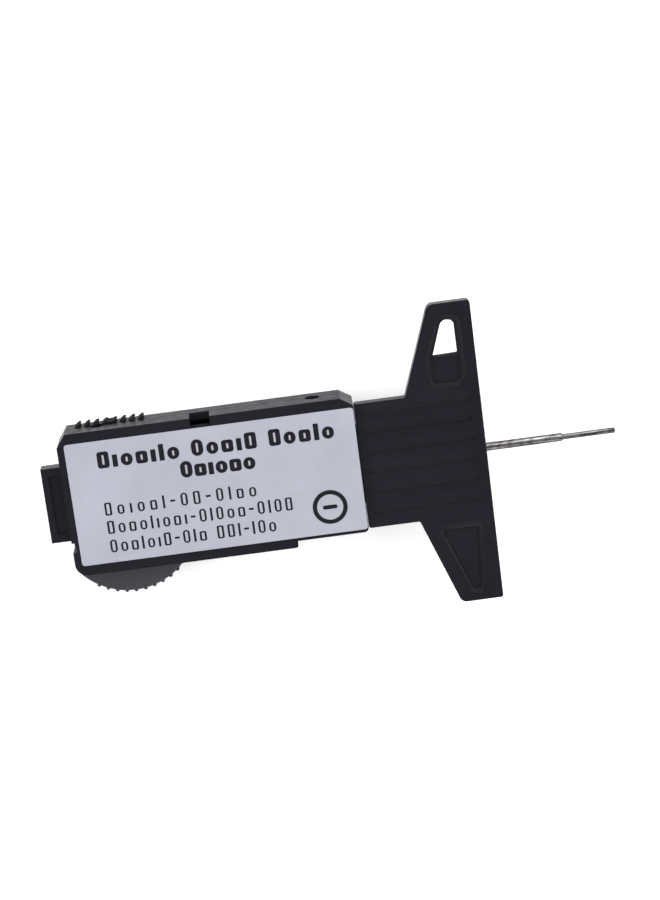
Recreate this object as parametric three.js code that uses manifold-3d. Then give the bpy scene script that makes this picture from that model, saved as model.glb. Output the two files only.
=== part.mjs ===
// Digital tread depth gauge: a T-shaped measuring base with a beam, a slider that runs on the beam and
// carries the electronics, and a steel probe that leaves the middle of the measuring face.
//
// Millimetres. X runs along the gauge, with 0 at the measuring face and + towards the probe's tip.
// Y runs across it, + towards the wing with the hang hole. Z = 0 is the display side, + the label side.
// The last lines shift the whole gauge so that its origin is the middle of the bottom of its box.
import * as THREE from 'three';
import { mergeVertices } from 'three/addons/utils/BufferGeometryUtils.js';
import Module from 'manifold-3d';

const wasm = await Module();
wasm.setup();

// ---- driving dimensions -------------------------------------------------------------------------

const TRAVEL = 25.4; // the probe's full travel, and how far it sticks out at rest
const CLEARANCE = 0.3; // between pieces that slide on each other

// base
const BASE_WIDTH = 60; // across the wings
const WING_TIP = 8.2; // the wing's length along X at its outer end
const WING_ROOT = 14.5; // and where it meets the head
const HEAD_LENGTH = 24.5;
const HEAD_WIDTH = 25;
const BASE_BOTTOM = 7; // display side of the spine
const HEAD_TOP = 12.3;
const HEAD_PLATE = 2.3; // thickness of the T-shaped plate
const SPINE_WIDTH = 14; // the thicker middle of the head and the beam
const HEAD_RIBS = 6;
const HEAD_RIB_PITCH = 4.02;
const HEAD_RIB_WIDTH = 1.8;
const HEAD_RIB_SHIFT = 1.45; // of the ribs' middle from the head's middle
const HEAD_RIB_HEIGHT = 0.4;
const HEAD_RIB_ENDS = { left: -23.4, right: -2.2 };
const POCKET_DEPTH = 0.8;

// beam
const BEAM_WIDTH = 15;
const BEAM_TOP = 11.2;
const BEAM_EDGE = 3; // thickness of the beam's two edges, which the slider runs on
const BEAM_END = -86.2;
const END_SLOT = { left: -84.9, right: -83, half: 5.85, depth: 0.9 }; // recess in the beam's end
const CHANNEL_WIDTH = 12; // open on the label side, for the probe and its holder
const CHANNEL_FLOOR = 8.75;
const CHANNEL_START = -79;
const CHANNEL_STOP = -25.6;
const SCALE_WIDTH = 11.6; // recess on the display side, for the scale
const SCALE_CEILING = 7.85;
const SCALE_START = -82;
const SCALE_STOP = -25.8;

// slider
const SLIDER_LEFT = -82;
const SLIDER_RIGHT = -24.8;
const SLIDER_HALF = 14.25; // half its width
const SLIDER_STEP = 12.9; // half width below the step near the head
const STEP_X = -38.6;
const FRONT_INSET = 1.6; // the display end of the front shell is this much narrower all round
const FLANGE_BOTTOM = 5.5; // where the inset ends
const PARTING = 9; // plane between the two shells
const PARTING_GAP = 0.1;
const COVER_TOP = 13.3;
const COVER_PLATE = 1.7;
const WALL = 1.5;
const FRONT_WALL = 1.6;

// thumb grip and side ribs
const GRIP_X = -71.6;
const GRIP_Y = -6.4;
const GRIP_RADIUS = 13.6;
const GRIP_LEFT = -82;
const GRIP_CORNER = 2.5; // radius of its lower left corner
const GRIP_NUBS = 10;
const GRIP_NUB_FIRST = THREE.MathUtils.degToRad(-121.2);
const GRIP_NUB_PITCH = THREE.MathUtils.degToRad(7.87);
const GRIP_NUB_RADIUS = 0.4;
const SIDE_RIBS = 8;
const SIDE_RIB_FIRST = -77.8; // the first rib's crest
const SIDE_RIB_PITCH = 1.757;
const SIDE_RIB_SLOPE = 0.95; // each rib rises over this length and drops over the next one
const SIDE_RIB_DROP = 0.35;
const SIDE_RIB_PROUD = 0.7;
const SIDE_PAD = { first: 3, last: 4, proud: 0.4 }; // raised between these two ribs

// notch in the rear cover's side, open to the inside
const NOTCH_LEFT = -56.2;
const NOTCH_RIGHT = -52.3;
const NOTCH_FLOOR_Y = 12.45;
const NOTCH_BOTTOM = 9;
const END_RELIEF = { depth: 0.8, bottom: -9.7, top: -7.6 }; // shallow relief in the slider's far end

// label and probe
const LABEL_LENGTH = 56.1;
const LABEL_WIDTH = 24.5;
const LABEL_LEFT = -80.8;
const LABEL_THICKNESS = 0.18;
const LABEL_CORNER = 0.6;
const PROBE_Z = 9.65;
const SLEEVE_RADIUS = 0.8;
const SLEEVE_OUT = 15.1; // how far the sleeve sticks out of the face at rest
const PIN_RADIUS = 0.55;
const PIN_SEAT = 5; // how far the pin goes into the sleeve
const HOLDER_LEFT = -42;
const HOLDER_RIGHT = -28;
const HOLDER_SCREW_X = HOLDER_LEFT + 3;

// battery
const CELL_X = -71.5;
const CELL_Y = -12;
const CELL_RADIUS = 5.8;
const CELL_BOTTOM = 1.2;
const CELL_HEIGHT = 5.4;
const CAP_RADIUS = 6.6;
const CAP_BOTTOM = 0.1;
const CAP_TOP = 1.05;
const CAP_UNLOCK_TURN = Math.PI / 4; // from locked to free, counter-clockwise from outside

// display and buttons
const WINDOW = { left: -60, right: -34, bottom: -0.6, top: 9.6 };
const LCD = { left: -62, right: -32, bottom: -2.8, top: 10.8 };
const BUTTON_Y = -6.5;
const BUTTON_RADIUS = 2.5;
const BUTTON_TRAVEL = 0.6;
const BUTTONS = [['power', -55], ['units', -45], ['zero', -35]];
const FACEPLATE_STEP = { x: -63.2, y: -3.6 }; // its inner corner, clear of the battery cover

// board
const BOARD_BOTTOM = 5.9;
const BOARD_TOP = 6.65;
const BOARD_SCREWS = [[-70, 9.5], [-50, -9.2]];
const BOARD_BOSS_RADIUS = 1.5;
const CHIP_BLOB = { x: -68.5, y: 2.5, radius: 3.4, flatness: 0.36 };

// screws that join the shells
const COVER_SCREWS = [[-78, 10], [-28, 10.2], [-28, -10], [-62.3, -10.2]];
const COVER_BOSS_RADIUS = 2.2;

// gib
const GIB_Z = 9.2;
const GIB_SCREWS = [['left', -74.2], ['right', -32.2]];
const GIB_HOLE_RADIUS = 1.45;
const GIB_SCREW_RADIUS = 1.2;

// ---- materials ----------------------------------------------------------------------------------

function material(color, roughness, metalness = 0) {
  return new THREE.MeshStandardMaterial({ color, roughness, metalness });
}

const BLACK_PLASTIC = material(0x24242a, 0.55);
const GRIP_PLASTIC = material(0x2c2c32, 0.6);
const LABEL = material(0xc3c6d3, 0.4, 0.3);
const STEEL = material(0xb8b6b2, 0.3, 1);
const SCREW_STEEL = material(0x9a9a9c, 0.35, 1);
const BOARD = material(0x1e5a34, 0.5);
const SCALE = material(0x2a4a34, 0.45);
const FILM = material(0xaeb2b8, 0.35);
const GLASS = material(0xc8d2c8, 0.1);
const LCD_GLASS = material(0x8f9a86, 0.2);
const RUBBER = material(0x5a5a5e, 0.8);
const RED_PLASTIC = material(0xa8322c, 0.5);
const GREY_PLASTIC = material(0x8c8f96, 0.5);
const NICKEL = material(0xc2bfb6, 0.3, 1);
const BRASS = material(0xb08d4a, 0.35, 1);
const EPOXY = material(0x101012, 0.35);

// ---- geometry helpers ---------------------------------------------------------------------------

// A closed solid that manifold can join and cut, from any closed three.js geometry.
function solid(geometry) {
  const bare = geometry.index ? geometry.toNonIndexed() : geometry.clone();
  bare.deleteAttribute('normal');
  bare.deleteAttribute('uv');
  const merged = mergeVertices(bare, 1e-4);
  const vertProperties = new Float32Array(merged.attributes.position.array);
  const triVerts = new Uint32Array(merged.index.array);
  return new wasm.Manifold(new wasm.Mesh({ numProp: 3, vertProperties, triVerts }));
}

// A path round a list of [x, y, radius] corners. Each corner with a radius becomes an arc.
function rounded(path, corners) {
  corners.forEach(([x, y, radius = 0], i) => {
    const corner = new THREE.Vector2(x, y);
    const before = corners[(i + corners.length - 1) % corners.length];
    const after = corners[(i + 1) % corners.length];
    const toBefore = new THREE.Vector2(before[0], before[1]).sub(corner).normalize();
    const toAfter = new THREE.Vector2(after[0], after[1]).sub(corner).normalize();
    const half = Math.acos(THREE.MathUtils.clamp(toBefore.dot(toAfter), -1, 1)) / 2;
    const start = corner.clone().addScaledVector(toBefore, radius / Math.tan(half));
    if (i === 0) path.moveTo(start.x, start.y);
    else path.lineTo(start.x, start.y);
    if (radius === 0) return;
    const inward = toBefore.clone().add(toAfter).normalize();
    const centre = corner.clone().addScaledVector(inward, radius / Math.sin(half));
    const end = corner.clone().addScaledVector(toAfter, radius / Math.tan(half));
    const a0 = Math.atan2(start.y - centre.y, start.x - centre.x);
    const a1 = Math.atan2(end.y - centre.y, end.x - centre.x);
    const turn = toBefore.cross(toAfter) > 0;
    path.absarc(centre.x, centre.y, radius, a0, a1, turn);
  });
  path.closePath();
  return path;
}

// A straight prism on an outline in X and Y, from z0 to z1.
function prism(corners, z0, z1, curveSegments = 4) {
  const shape = rounded(new THREE.Shape(), corners);
  const geometry = new THREE.ExtrudeGeometry(shape, { depth: z1 - z0, bevelEnabled: false, curveSegments });
  return solid(geometry.translate(0, 0, z0));
}

function box(x0, x1, y0, y1, z0, z1) {
  const geometry = new THREE.BoxGeometry(x1 - x0, y1 - y0, z1 - z0);
  return solid(geometry.translate((x0 + x1) / 2, (y0 + y1) / 2, (z0 + z1) / 2));
}

// A round bar on the Z axis line through (x, y).
function bar(x, y, radius, z0, z1, sides = 24) {
  const geometry = new THREE.CylinderGeometry(radius, radius, z1 - z0, sides).rotateX(Math.PI / 2);
  return solid(geometry.translate(x, y, (z0 + z1) / 2));
}

// A round bar along X or along Y.
function barX(x0, x1, y, z, radius, sides = 20) {
  const geometry = new THREE.CylinderGeometry(radius, radius, x1 - x0, sides).rotateZ(Math.PI / 2);
  return solid(geometry.translate((x0 + x1) / 2, y, z));
}

function barY(x, y0, y1, z, radius, sides = 20) {
  const geometry = new THREE.CylinderGeometry(radius, radius, y1 - y0, sides);
  return solid(geometry.translate(x, (y0 + y1) / 2, z));
}

// A strip of even thickness whose side view is the polyline points, in (u, v), extruded by width.
// It comes out along X with u along Y and v along Z when across is 'x', and along Z with u along X
// and v along Y when across is 'z'.
function strip(points, thickness, from, to, across) {
  const line = points.map(([u, v]) => new THREE.Vector2(u, v));
  const normals = line.map((_, i) => {
    const a = line[Math.max(i - 1, 0)];
    const b = line[Math.min(i + 1, line.length - 1)];
    const d = b.clone().sub(a).normalize();
    return new THREE.Vector2(-d.y, d.x);
  });
  const left = line.map((point, i) => point.clone().addScaledVector(normals[i], thickness / 2));
  const right = line.map((point, i) => point.clone().addScaledVector(normals[i], -thickness / 2));
  const shape = new THREE.Shape([...left, ...right.reverse()]);
  const geometry = new THREE.ExtrudeGeometry(shape, { depth: to - from, bevelEnabled: false });
  geometry.translate(0, 0, from);
  if (across === 'x') geometry.rotateX(Math.PI / 2).rotateZ(Math.PI / 2);
  return solid(geometry);
}

function join(...solids) {
  return solids.reduce((whole, piece) => whole.add(piece));
}

function cut(body, ...tools) {
  return tools.reduce((left, tool) => left.subtract(tool), body);
}

const gauge = new THREE.Group();

function addPiece(name, body, pieceMaterial) {
  const { vertProperties, triVerts } = body.getMesh();
  const geometry = new THREE.BufferGeometry();
  geometry.setAttribute('position', new THREE.BufferAttribute(new Float32Array(vertProperties), 3));
  geometry.setIndex(new THREE.BufferAttribute(new Uint32Array(triVerts), 1));
  geometry.computeVertexNormals();
  const mesh = new THREE.Mesh(geometry, pieceMaterial);
  mesh.name = name;
  gauge.add(mesh);
}

// ---- base: T-shaped head, ribs, beam ------------------------------------------------------------

function baseOutline() {
  const half = BASE_WIDTH / 2;
  const side = HEAD_WIDTH / 2;
  return [
    [0, -half, 0.5],
    [0, half, 0.5],
    [-WING_TIP, half, 1.3],
    [-WING_ROOT, side, 0.4],
    [-HEAD_LENGTH, side, 0.3],
    [-HEAD_LENGTH, -side, 0.3],
    [-WING_ROOT, -side, 0.4],
    [-WING_TIP, -half, 1.3],
  ];
}

function baseBeam() {
  const { left, right } = HEAD_RIB_ENDS;
  const floor = HEAD_TOP - POCKET_DEPTH;
  const above = HEAD_TOP + 1;
  const beamHalf = BEAM_WIDTH / 2;
  const spineHalf = SPINE_WIDTH / 2;
  let body = join(
    prism(baseOutline(), HEAD_TOP - HEAD_PLATE, HEAD_TOP),
    box(BEAM_END, -HEAD_LENGTH + 1, -beamHalf, beamHalf, BEAM_TOP - BEAM_EDGE, BEAM_TOP),
    box(BEAM_END, 0, -spineHalf, spineHalf, BASE_BOTTOM, BEAM_TOP - 0.5),
  );
  for (let i = 0; i < HEAD_RIBS; i += 1) {
    const y = (i - (HEAD_RIBS - 1) / 2) * HEAD_RIB_PITCH + HEAD_RIB_SHIFT;
    const half = HEAD_RIB_WIDTH / 2;
    const round = half * 0.98;
    const ends = [
      [left, y - half, round], [right, y - half, round],
      [right, y + half, round], [left, y + half, round],
    ];
    body = body.add(prism(ends, HEAD_TOP - 0.5, HEAD_TOP + HEAD_RIB_HEIGHT, 3));
  }
  const hangHole = [[-3.4, 19.7, 0.15], [-3.45, 26.6, 1.25], [-5.9, 26.6, 1.25], [-8.35, 19.6, 0.15]];
  const holePocket = [
    [-2.7, 14, 1.2], [-2.7, 27.2, 1.7], [-6.2, 27.2, 1.7], [-9.2, 19.4, 0.4], [-9.5, 14, 1.2],
  ];
  const plainPocket = [[-3.5, -27.8, 0.8], [-2.8, -14.3, 1], [-11.2, -14.3, 1.5], [-6, -27.8, 1]];
  const channelHalf = CHANNEL_WIDTH / 2;
  const scaleHalf = SCALE_WIDTH / 2;
  return cut(
    body,
    prism(holePocket, floor, above),
    prism(plainPocket, floor, above),
    prism(hangHole, BASE_BOTTOM - 1, above),
    box(CHANNEL_START, CHANNEL_STOP, -channelHalf, channelHalf, CHANNEL_FLOOR, above),
    box(END_SLOT.left, END_SLOT.right, -END_SLOT.half, END_SLOT.half, BEAM_TOP - END_SLOT.depth, above),
    box(SCALE_START, SCALE_STOP, -scaleHalf, scaleHalf, BASE_BOTTOM - 1, SCALE_CEILING),
    barX(CHANNEL_STOP - 1, 1, 0, PROBE_Z, SLEEVE_RADIUS + 0.1),
  );
}

addPiece('base_beam', baseBeam(), BLACK_PLASTIC);

function scaleLayer(z0, z1) {
  const half = SCALE_WIDTH / 2 - CLEARANCE;
  return box(SCALE_START + CLEARANCE, SCALE_STOP - CLEARANCE, -half, half, z0, z1);
}

addPiece('scale_strip', scaleLayer(7.24, SCALE_CEILING - 0.05), SCALE);
addPiece('scale_film', scaleLayer(BASE_BOTTOM + 0.04, 7.19), FILM);

// ---- slider shells ------------------------------------------------------------------------------

// The slider's outline, inset by a margin on every side.
function sliderOutline(inset = 0) {
  const left = SLIDER_LEFT + inset;
  const right = SLIDER_RIGHT - inset;
  const half = SLIDER_HALF - inset;
  const step = SLIDER_STEP - inset;
  return [
    [left, -half, 2.4],
    [STEP_X - inset, -half, 0],
    [STEP_X - inset, -step, 0],
    [right, -step, 0.6],
    [right, half - 1.6, 0],
    [right - 2.4, half, 0],
    [left + 1.8, half, 0],
    [left, half - 2.5, 0],
  ];
}

// The half-moon thumb grip: a disc that shows below the slider's lower side, with its left end cut
// straight and the corner between the cut and the rim rounded.
function gripMoon(z0, z1) {
  const cornerX = GRIP_LEFT + GRIP_CORNER;
  const cornerY = GRIP_Y - Math.sqrt((GRIP_RADIUS - GRIP_CORNER) ** 2 - (cornerX - GRIP_X) ** 2);
  const tangent = Math.atan2(cornerY - GRIP_Y, cornerX - GRIP_X);
  const top = GRIP_Y - 5;
  const shape = new THREE.Shape();
  shape.moveTo(GRIP_LEFT, top);
  shape.absarc(cornerX, cornerY, GRIP_CORNER, -Math.PI, tangent, false);
  shape.absarc(GRIP_X, GRIP_Y, GRIP_RADIUS, tangent, Math.asin((top - GRIP_Y) / GRIP_RADIUS), false);
  shape.closePath();
  const options = { depth: z1 - z0, bevelEnabled: false, curveSegments: 24 };
  const geometry = new THREE.ExtrudeGeometry(shape, options);
  return solid(geometry.translate(0, 0, z0));
}

// Finger ribs on the front shell's flange: a row of fins that all lean towards the head.
function sideRibs(z0, z1) {
  const root = SLIDER_HALF - 0.5;
  const crest = SLIDER_HALF + SIDE_RIB_PROUD;
  const crestX = (i) => SIDE_RIB_FIRST + i * SIDE_RIB_PITCH;
  const ribs = [];
  for (let i = 0; i < SIDE_RIBS; i += 1) {
    const x0 = crestX(i) - SIDE_RIB_SLOPE;
    const x1 = crestX(i) + SIDE_RIB_DROP;
    const side = [[x0, root], [x1, root], [x1, SLIDER_HALF], [crestX(i), crest], [x0, SLIDER_HALF]];
    ribs.push(prism(side, z0, z1));
  }
  const { first, last, proud } = SIDE_PAD;
  return join(...ribs, box(crestX(first), crestX(last), root, SLIDER_HALF + proud, z0, z1));
}

// Both shells have the same end relief and screw holes, so they share these with the notch.
function sideCuts() {
  const outside = SLIDER_HALF + 2;
  const notch = box(NOTCH_LEFT, NOTCH_RIGHT, NOTCH_FLOOR_Y, outside, NOTCH_BOTTOM, COVER_TOP + 1);
  const holes = GIB_SCREWS.map(([, x]) => barY(x, SLIDER_HALF - 4.5, outside, GIB_Z, GIB_HOLE_RADIUS, 18));
  const { depth, bottom, top } = END_RELIEF;
  const relief = box(SLIDER_LEFT - 1, SLIDER_LEFT + depth, bottom, top, -1, COVER_TOP + 1);
  return join(notch, relief, ...holes);
}

// The way through both shells for the beam.
function beamTunnel() {
  const half = BEAM_WIDTH / 2 + CLEARANCE;
  return box(SLIDER_LEFT - 2, SLIDER_RIGHT + 2, -half, half, BASE_BOTTOM - CLEARANCE, BEAM_TOP + CLEARANCE);
}

// Solid blocks round the gib screws.
function gibBlocks(z0, z1) {
  const inner = SLIDER_HALF - 3.6;
  return join(...GIB_SCREWS.map(([, x]) => box(x - 2.6, x + 2.6, inner, SLIDER_HALF - 1, z0, z1)));
}

function rearCover() {
  const bottom = PARTING + PARTING_GAP / 2;
  const ceiling = COVER_TOP - COVER_PLATE;
  const shell = cut(
    prism(sliderOutline(), bottom, COVER_TOP),
    prism(sliderOutline(WALL), bottom - 1, ceiling),
  );
  const inside = ceiling + 0.5;
  const edge = BEAM_WIDTH / 2 + CLEARANCE;
  const rails = [-edge - 1.2, edge + 1.6].map((y) => (
    box(SLIDER_LEFT + 1, SLIDER_RIGHT - 1, y, y + 1.2, bottom + 1.4, inside)
  ));
  const bosses = COVER_SCREWS.map(([x, y]) => bar(x, y, COVER_BOSS_RADIUS, bottom, inside, 20));
  const body = join(shell, ...rails, ...bosses, gibBlocks(bottom, inside)).intersect(
    prism(sliderOutline(), bottom, COVER_TOP),
  );
  const screwWays = COVER_SCREWS.flatMap(([x, y]) => [
    bar(x, y, 1.05, bottom - 1, COVER_TOP + 1, 16),
    bar(x, y, 1.95, COVER_TOP - 1.45, COVER_TOP + 1, 20),
  ]);
  return cut(
    body,
    beamTunnel(),
    sideCuts(),
    ...screwWays,
    bar(HOLDER_SCREW_X, 0, 1, ceiling - 1, COVER_TOP + 1, 16),
    bar(HOLDER_SCREW_X, 0, 1.8, COVER_TOP - 0.9, COVER_TOP + 1, 20),
  );
}

addPiece('rear_cover', rearCover(), BLACK_PLASTIC);

// The display end of the front shell: compartment, display opening, button holes.
function frontOpenings() {
  const openings = [
    box(WINDOW.left - 1.2, WINDOW.right + 1.2, WINDOW.bottom - 1.2, WINDOW.top + 0.9, 0.85, FRONT_WALL + 1),
    box(WINDOW.left, WINDOW.right, WINDOW.bottom, WINDOW.top, -1, FRONT_WALL + 1),
    bar(CELL_X, CELL_Y, CAP_RADIUS + 0.25, -1, 1.15, 36),
    bar(CELL_X, CELL_Y, CAP_RADIUS + 0.85, 0.5, 1.15, 36),
    bar(CELL_X, CELL_Y, CELL_RADIUS + 0.3, 0.6, 6.95, 36),
  ];
  BUTTONS.forEach(([, x]) => openings.push(bar(x, BUTTON_Y, BUTTON_RADIUS + 0.2, -1, FRONT_WALL + 1, 28)));
  const lugWay = new THREE.BoxGeometry(2 * (CAP_RADIUS + 0.8), 2.4, 1.6).rotateZ(-CAP_UNLOCK_TURN);
  openings.push(solid(lugWay.translate(CELL_X, CELL_Y, 0)));
  return openings;
}

function faceplateOutline(inset = 0) {
  const right = SLIDER_RIGHT - FRONT_INSET - 1 - inset;
  const top = SLIDER_HALF - FRONT_INSET - 1 - inset;
  const left = SLIDER_LEFT + FRONT_INSET + 1 + inset;
  const lower = -SLIDER_STEP + FRONT_INSET + 0.9 + inset;
  const inner = FACEPLATE_STEP.x + inset;
  const shelf = FACEPLATE_STEP.y + inset;
  return [
    [inner, lower, 0.6],
    [right, lower, 0.8],
    [right, top - 1.2, 0.3],
    [right - 1.2, top, 0.3],
    [left + 0.9, top, 0.3],
    [left, top - 0.9, 0.3],
    [left, shelf, 0.8],
    [inner, shelf, 0.8],
  ];
}

function frontHousing() {
  const top = PARTING - PARTING_GAP / 2;
  const outer = join(
    prism(sliderOutline(), FLANGE_BOTTOM, top),
    prism(sliderOutline(FRONT_INSET), 0, FLANGE_BOTTOM + 0.1),
    gripMoon(0, top),
  );
  const cavity = join(
    prism(sliderOutline(FRONT_INSET + 1.3), FRONT_WALL, top + 1),
    prism(sliderOutline(WALL), FLANGE_BOTTOM + 1.2, top + 1),
  );
  const ribs = sideRibs(FLANGE_BOTTOM, top);
  const nubs = [];
  for (let i = 0; i < GRIP_NUBS; i += 1) {
    const angle = GRIP_NUB_FIRST + i * GRIP_NUB_PITCH;
    const x = GRIP_X + GRIP_RADIUS * Math.cos(angle);
    const y = GRIP_Y + GRIP_RADIUS * Math.sin(angle);
    nubs.push(bar(x, y, GRIP_NUB_RADIUS, 0.8, top - 0.5, 10));
  }
  const foot = FRONT_WALL - 0.2;
  const cellWall = bar(CELL_X, CELL_Y, CELL_RADIUS + 1.3, foot, top, 36);
  const bosses = [
    ...COVER_SCREWS.map(([x, y]) => bar(x, y, COVER_BOSS_RADIUS, foot, top, 20)),
    ...BOARD_SCREWS.map(([x, y]) => bar(x, y, BOARD_BOSS_RADIUS, foot, BOARD_BOTTOM - 0.15, 16)),
  ];
  const blocks = gibBlocks(BOARD_TOP + 0.3, top);
  const full = join(cut(outer, cavity), cellWall, ...bosses, blocks).intersect(outer);
  const pilotHoles = [
    ...COVER_SCREWS.map(([x, y]) => bar(x, y, 0.95, 3, top + 1, 14)),
    ...BOARD_SCREWS.map(([x, y]) => bar(x, y, 0.7, 2.6, BOARD_BOTTOM + 1, 12)),
  ];
  const contactSlot = box(CELL_X - 1.9, CELL_X + 1.9, CELL_Y + 5, CELL_Y + 9, 1.9, top + 1);
  const leafSlot = box(CELL_X - 1.9, CELL_X + 1.9, CELL_Y - 4, CELL_Y + 9, 6.4, 7.2);
  return cut(
    join(full, ribs, ...nubs),
    beamTunnel(),
    sideCuts(),
    prism(faceplateOutline(), -1, 0.42),
    contactSlot,
    leafSlot,
    ...frontOpenings(),
    ...pilotHoles,
  );
}

addPiece('front_housing', frontHousing(), GRIP_PLASTIC);

function rearLabel() {
  const half = LABEL_WIDTH / 2;
  const left = LABEL_LEFT;
  const right = LABEL_LEFT + LABEL_LENGTH;
  const round = LABEL_CORNER;
  const corners = [[left, -half, round], [right, -half, round], [right, half, round], [left, half, round]];
  const bottom = COVER_TOP + 0.02;
  return prism(corners, bottom, bottom + LABEL_THICKNESS, 6);
}

addPiece('rear_label', rearLabel(), LABEL);

// ---- probe and what ties it to the slider -------------------------------------------------------

function probeSleeve() {
  const tail = HOLDER_LEFT + 7;
  const outer = barX(tail, SLEEVE_OUT, 0, PROBE_Z, SLEEVE_RADIUS);
  return cut(outer, barX(SLEEVE_OUT - PIN_SEAT - 0.1, SLEEVE_OUT + 1, 0, PROBE_Z, PIN_RADIUS + 0.06));
}

function probeHolder() {
  const bottom = CHANNEL_FLOOR + 0.2;
  const top = COVER_TOP - COVER_PLATE - 0.1;
  const block = box(HOLDER_LEFT, HOLDER_RIGHT, -4, 4, bottom, top);
  const rodHole = barX(HOLDER_LEFT + 6.8, HOLDER_RIGHT + 1, 0, PROBE_Z, SLEEVE_RADIUS + 0.07);
  return cut(block, rodHole, bar(HOLDER_SCREW_X, 0, 0.75, bottom + 0.4, top + 1, 14));
}

// A pan-head screw with a cross recess, head up.
function screw(x, y, headTop, headHeight, headRadius, shankRadius, length) {
  const head = bar(x, y, headRadius, headTop - headHeight, headTop, 20);
  const shank = bar(x, y, shankRadius, headTop - length, headTop - headHeight + 0.1, 12);
  const arm = headRadius * 0.62;
  const slot = headRadius * 0.14;
  const depth = headHeight * 0.45;
  return cut(
    join(head, shank),
    box(x - arm, x + arm, y - slot, y + slot, headTop - depth, headTop + 1),
    box(x - slot, x + slot, y - arm, y + arm, headTop - depth, headTop + 1),
  );
}

addPiece('probe_sleeve', probeSleeve(), STEEL);
addPiece('probe_pin', barX(SLEEVE_OUT - PIN_SEAT, TRAVEL, 0, PROBE_Z, PIN_RADIUS, 16), STEEL);
addPiece('probe_holder', probeHolder(), BRASS);
addPiece('holder_screw', screw(HOLDER_SCREW_X, 0, COVER_TOP - 0.1, 0.7, 1.6, 0.65, 3.6), SCREW_STEEL);

COVER_SCREWS.forEach(([x, y], i) => {
  addPiece(`cover_screw_${i + 1}`, screw(x, y, COVER_TOP - 0.15, 1.2, 1.7, 0.85, 9), SCREW_STEEL);
});

// ---- gib: a bowed leaf on the beam's edge, pushed by two set screws ----------------------------

function gibSpring() {
  const touch = BEAM_WIDTH / 2 + 0.25;
  const bow = 0.55;
  const middle = (GIB_SCREWS[0][1] + GIB_SCREWS[1][1]) / 2;
  const reach = (GIB_SCREWS[1][1] - GIB_SCREWS[0][1]) / 2 + 1.5;
  const points = [];
  for (let i = 0; i <= 12; i += 1) {
    const t = i / 6 - 1;
    points.push([middle + t * reach, touch + bow * t * t]);
  }
  return strip(points, 0.25, 8, 10.4, 'z');
}

function gibScrew(x) {
  const outerEnd = SLIDER_HALF - 1;
  const body = barY(x, BEAM_WIDTH / 2 + 1.15, outerEnd, GIB_Z, GIB_SCREW_RADIUS, 18);
  return cut(body, box(x - 0.95, x + 0.95, outerEnd - 0.6, outerEnd + 1, GIB_Z - 0.2, GIB_Z + 0.2));
}

addPiece('gib_spring', gibSpring(), SCREW_STEEL);
GIB_SCREWS.forEach(([side, x]) => addPiece(`gib_screw_${side}`, gibScrew(x), SCREW_STEEL));

// ---- board and display --------------------------------------------------------------------------

function circuitBoard() {
  const corners = [
    [-75.2, -4.5, 0.5], [-59.6, -4.5, 0], [-59.6, -11, 0.5], [-42.6, -11, 0],
    [-42.6, -9.6, 0], [-32.2, -9.6, 0.5], [-32.2, 11, 0.5], [-75.2, 11, 0.5],
  ];
  const holes = BOARD_SCREWS.map(([x, y]) => bar(x, y, 0.9, 5, 8, 14));
  return cut(prism(corners, BOARD_BOTTOM, BOARD_TOP, 2), ...holes);
}

function chipBlob() {
  const top = BOARD_BOTTOM - 0.05;
  const { x, y, radius, flatness } = CHIP_BLOB;
  const blob = new THREE.SphereGeometry(radius, 20, 12).scale(1, 1, flatness).translate(x, y, top);
  return solid(blob).intersect(box(x - 4.5, x + 4.5, y - 4.5, y + 4.5, top - 3, top));
}

addPiece('circuit_board', circuitBoard(), BOARD);
addPiece('chip_blob', chipBlob(), EPOXY);
BOARD_SCREWS.forEach(([x, y], i) => {
  addPiece(`board_screw_${i + 1}`, screw(x, y, BOARD_TOP + 0.85, 0.75, 1.25, 0.6, 4.2), SCREW_STEEL);
});

addPiece('lcd_panel', box(LCD.left, LCD.right, LCD.bottom, LCD.top, 2.1, 3.9), LCD_GLASS);
addPiece('zebra_connector', box(WINDOW.left, WINDOW.right, -2.5, -0.9, 3.98, 5.82), RUBBER);
const windowPane = join(
  box(WINDOW.left + 0.15, WINDOW.right - 0.15, WINDOW.bottom + 0.15, WINDOW.top - 0.15, 0.3, 1.2),
  box(WINDOW.left - 1, WINDOW.right + 1, WINDOW.bottom - 1, WINDOW.top + 0.7, 0.95, 1.7),
);
addPiece('display_window', windowPane, GLASS);

function frontFaceplate() {
  const plate = prism(faceplateOutline(0.2), 0.1, 0.36);
  const opening = box(WINDOW.left - 0.2, WINDOW.right + 0.2, WINDOW.bottom - 0.2, WINDOW.top + 0.2, -1, 1);
  const holes = BUTTONS.map(([, x]) => bar(x, BUTTON_Y, BUTTON_RADIUS + 0.35, -1, 1, 28));
  return cut(plate, opening, ...holes);
}

addPiece('front_faceplate', frontFaceplate(), FILM);

// ---- buttons and domes --------------------------------------------------------------------------

function button(x) {
  const cap = bar(x, BUTTON_Y, BUTTON_RADIUS, 0.15, 2.2, 28);
  const flange = bar(x, BUTTON_Y, BUTTON_RADIUS + 0.7, FRONT_WALL + 0.1, FRONT_WALL + 0.7, 28);
  const stem = bar(x, BUTTON_Y, 0.9, 2, 5.35 - BUTTON_TRAVEL, 14);
  return join(cap, flange, stem);
}

function dome(x) {
  const top = BOARD_BOTTOM - 0.05;
  const shape = new THREE.SphereGeometry(2, 20, 10).scale(1, 1, 0.2).translate(x, BUTTON_Y, top);
  return solid(shape).intersect(box(x - 3, x + 3, BUTTON_Y - 3, BUTTON_Y + 3, top - 1, top));
}

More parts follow.
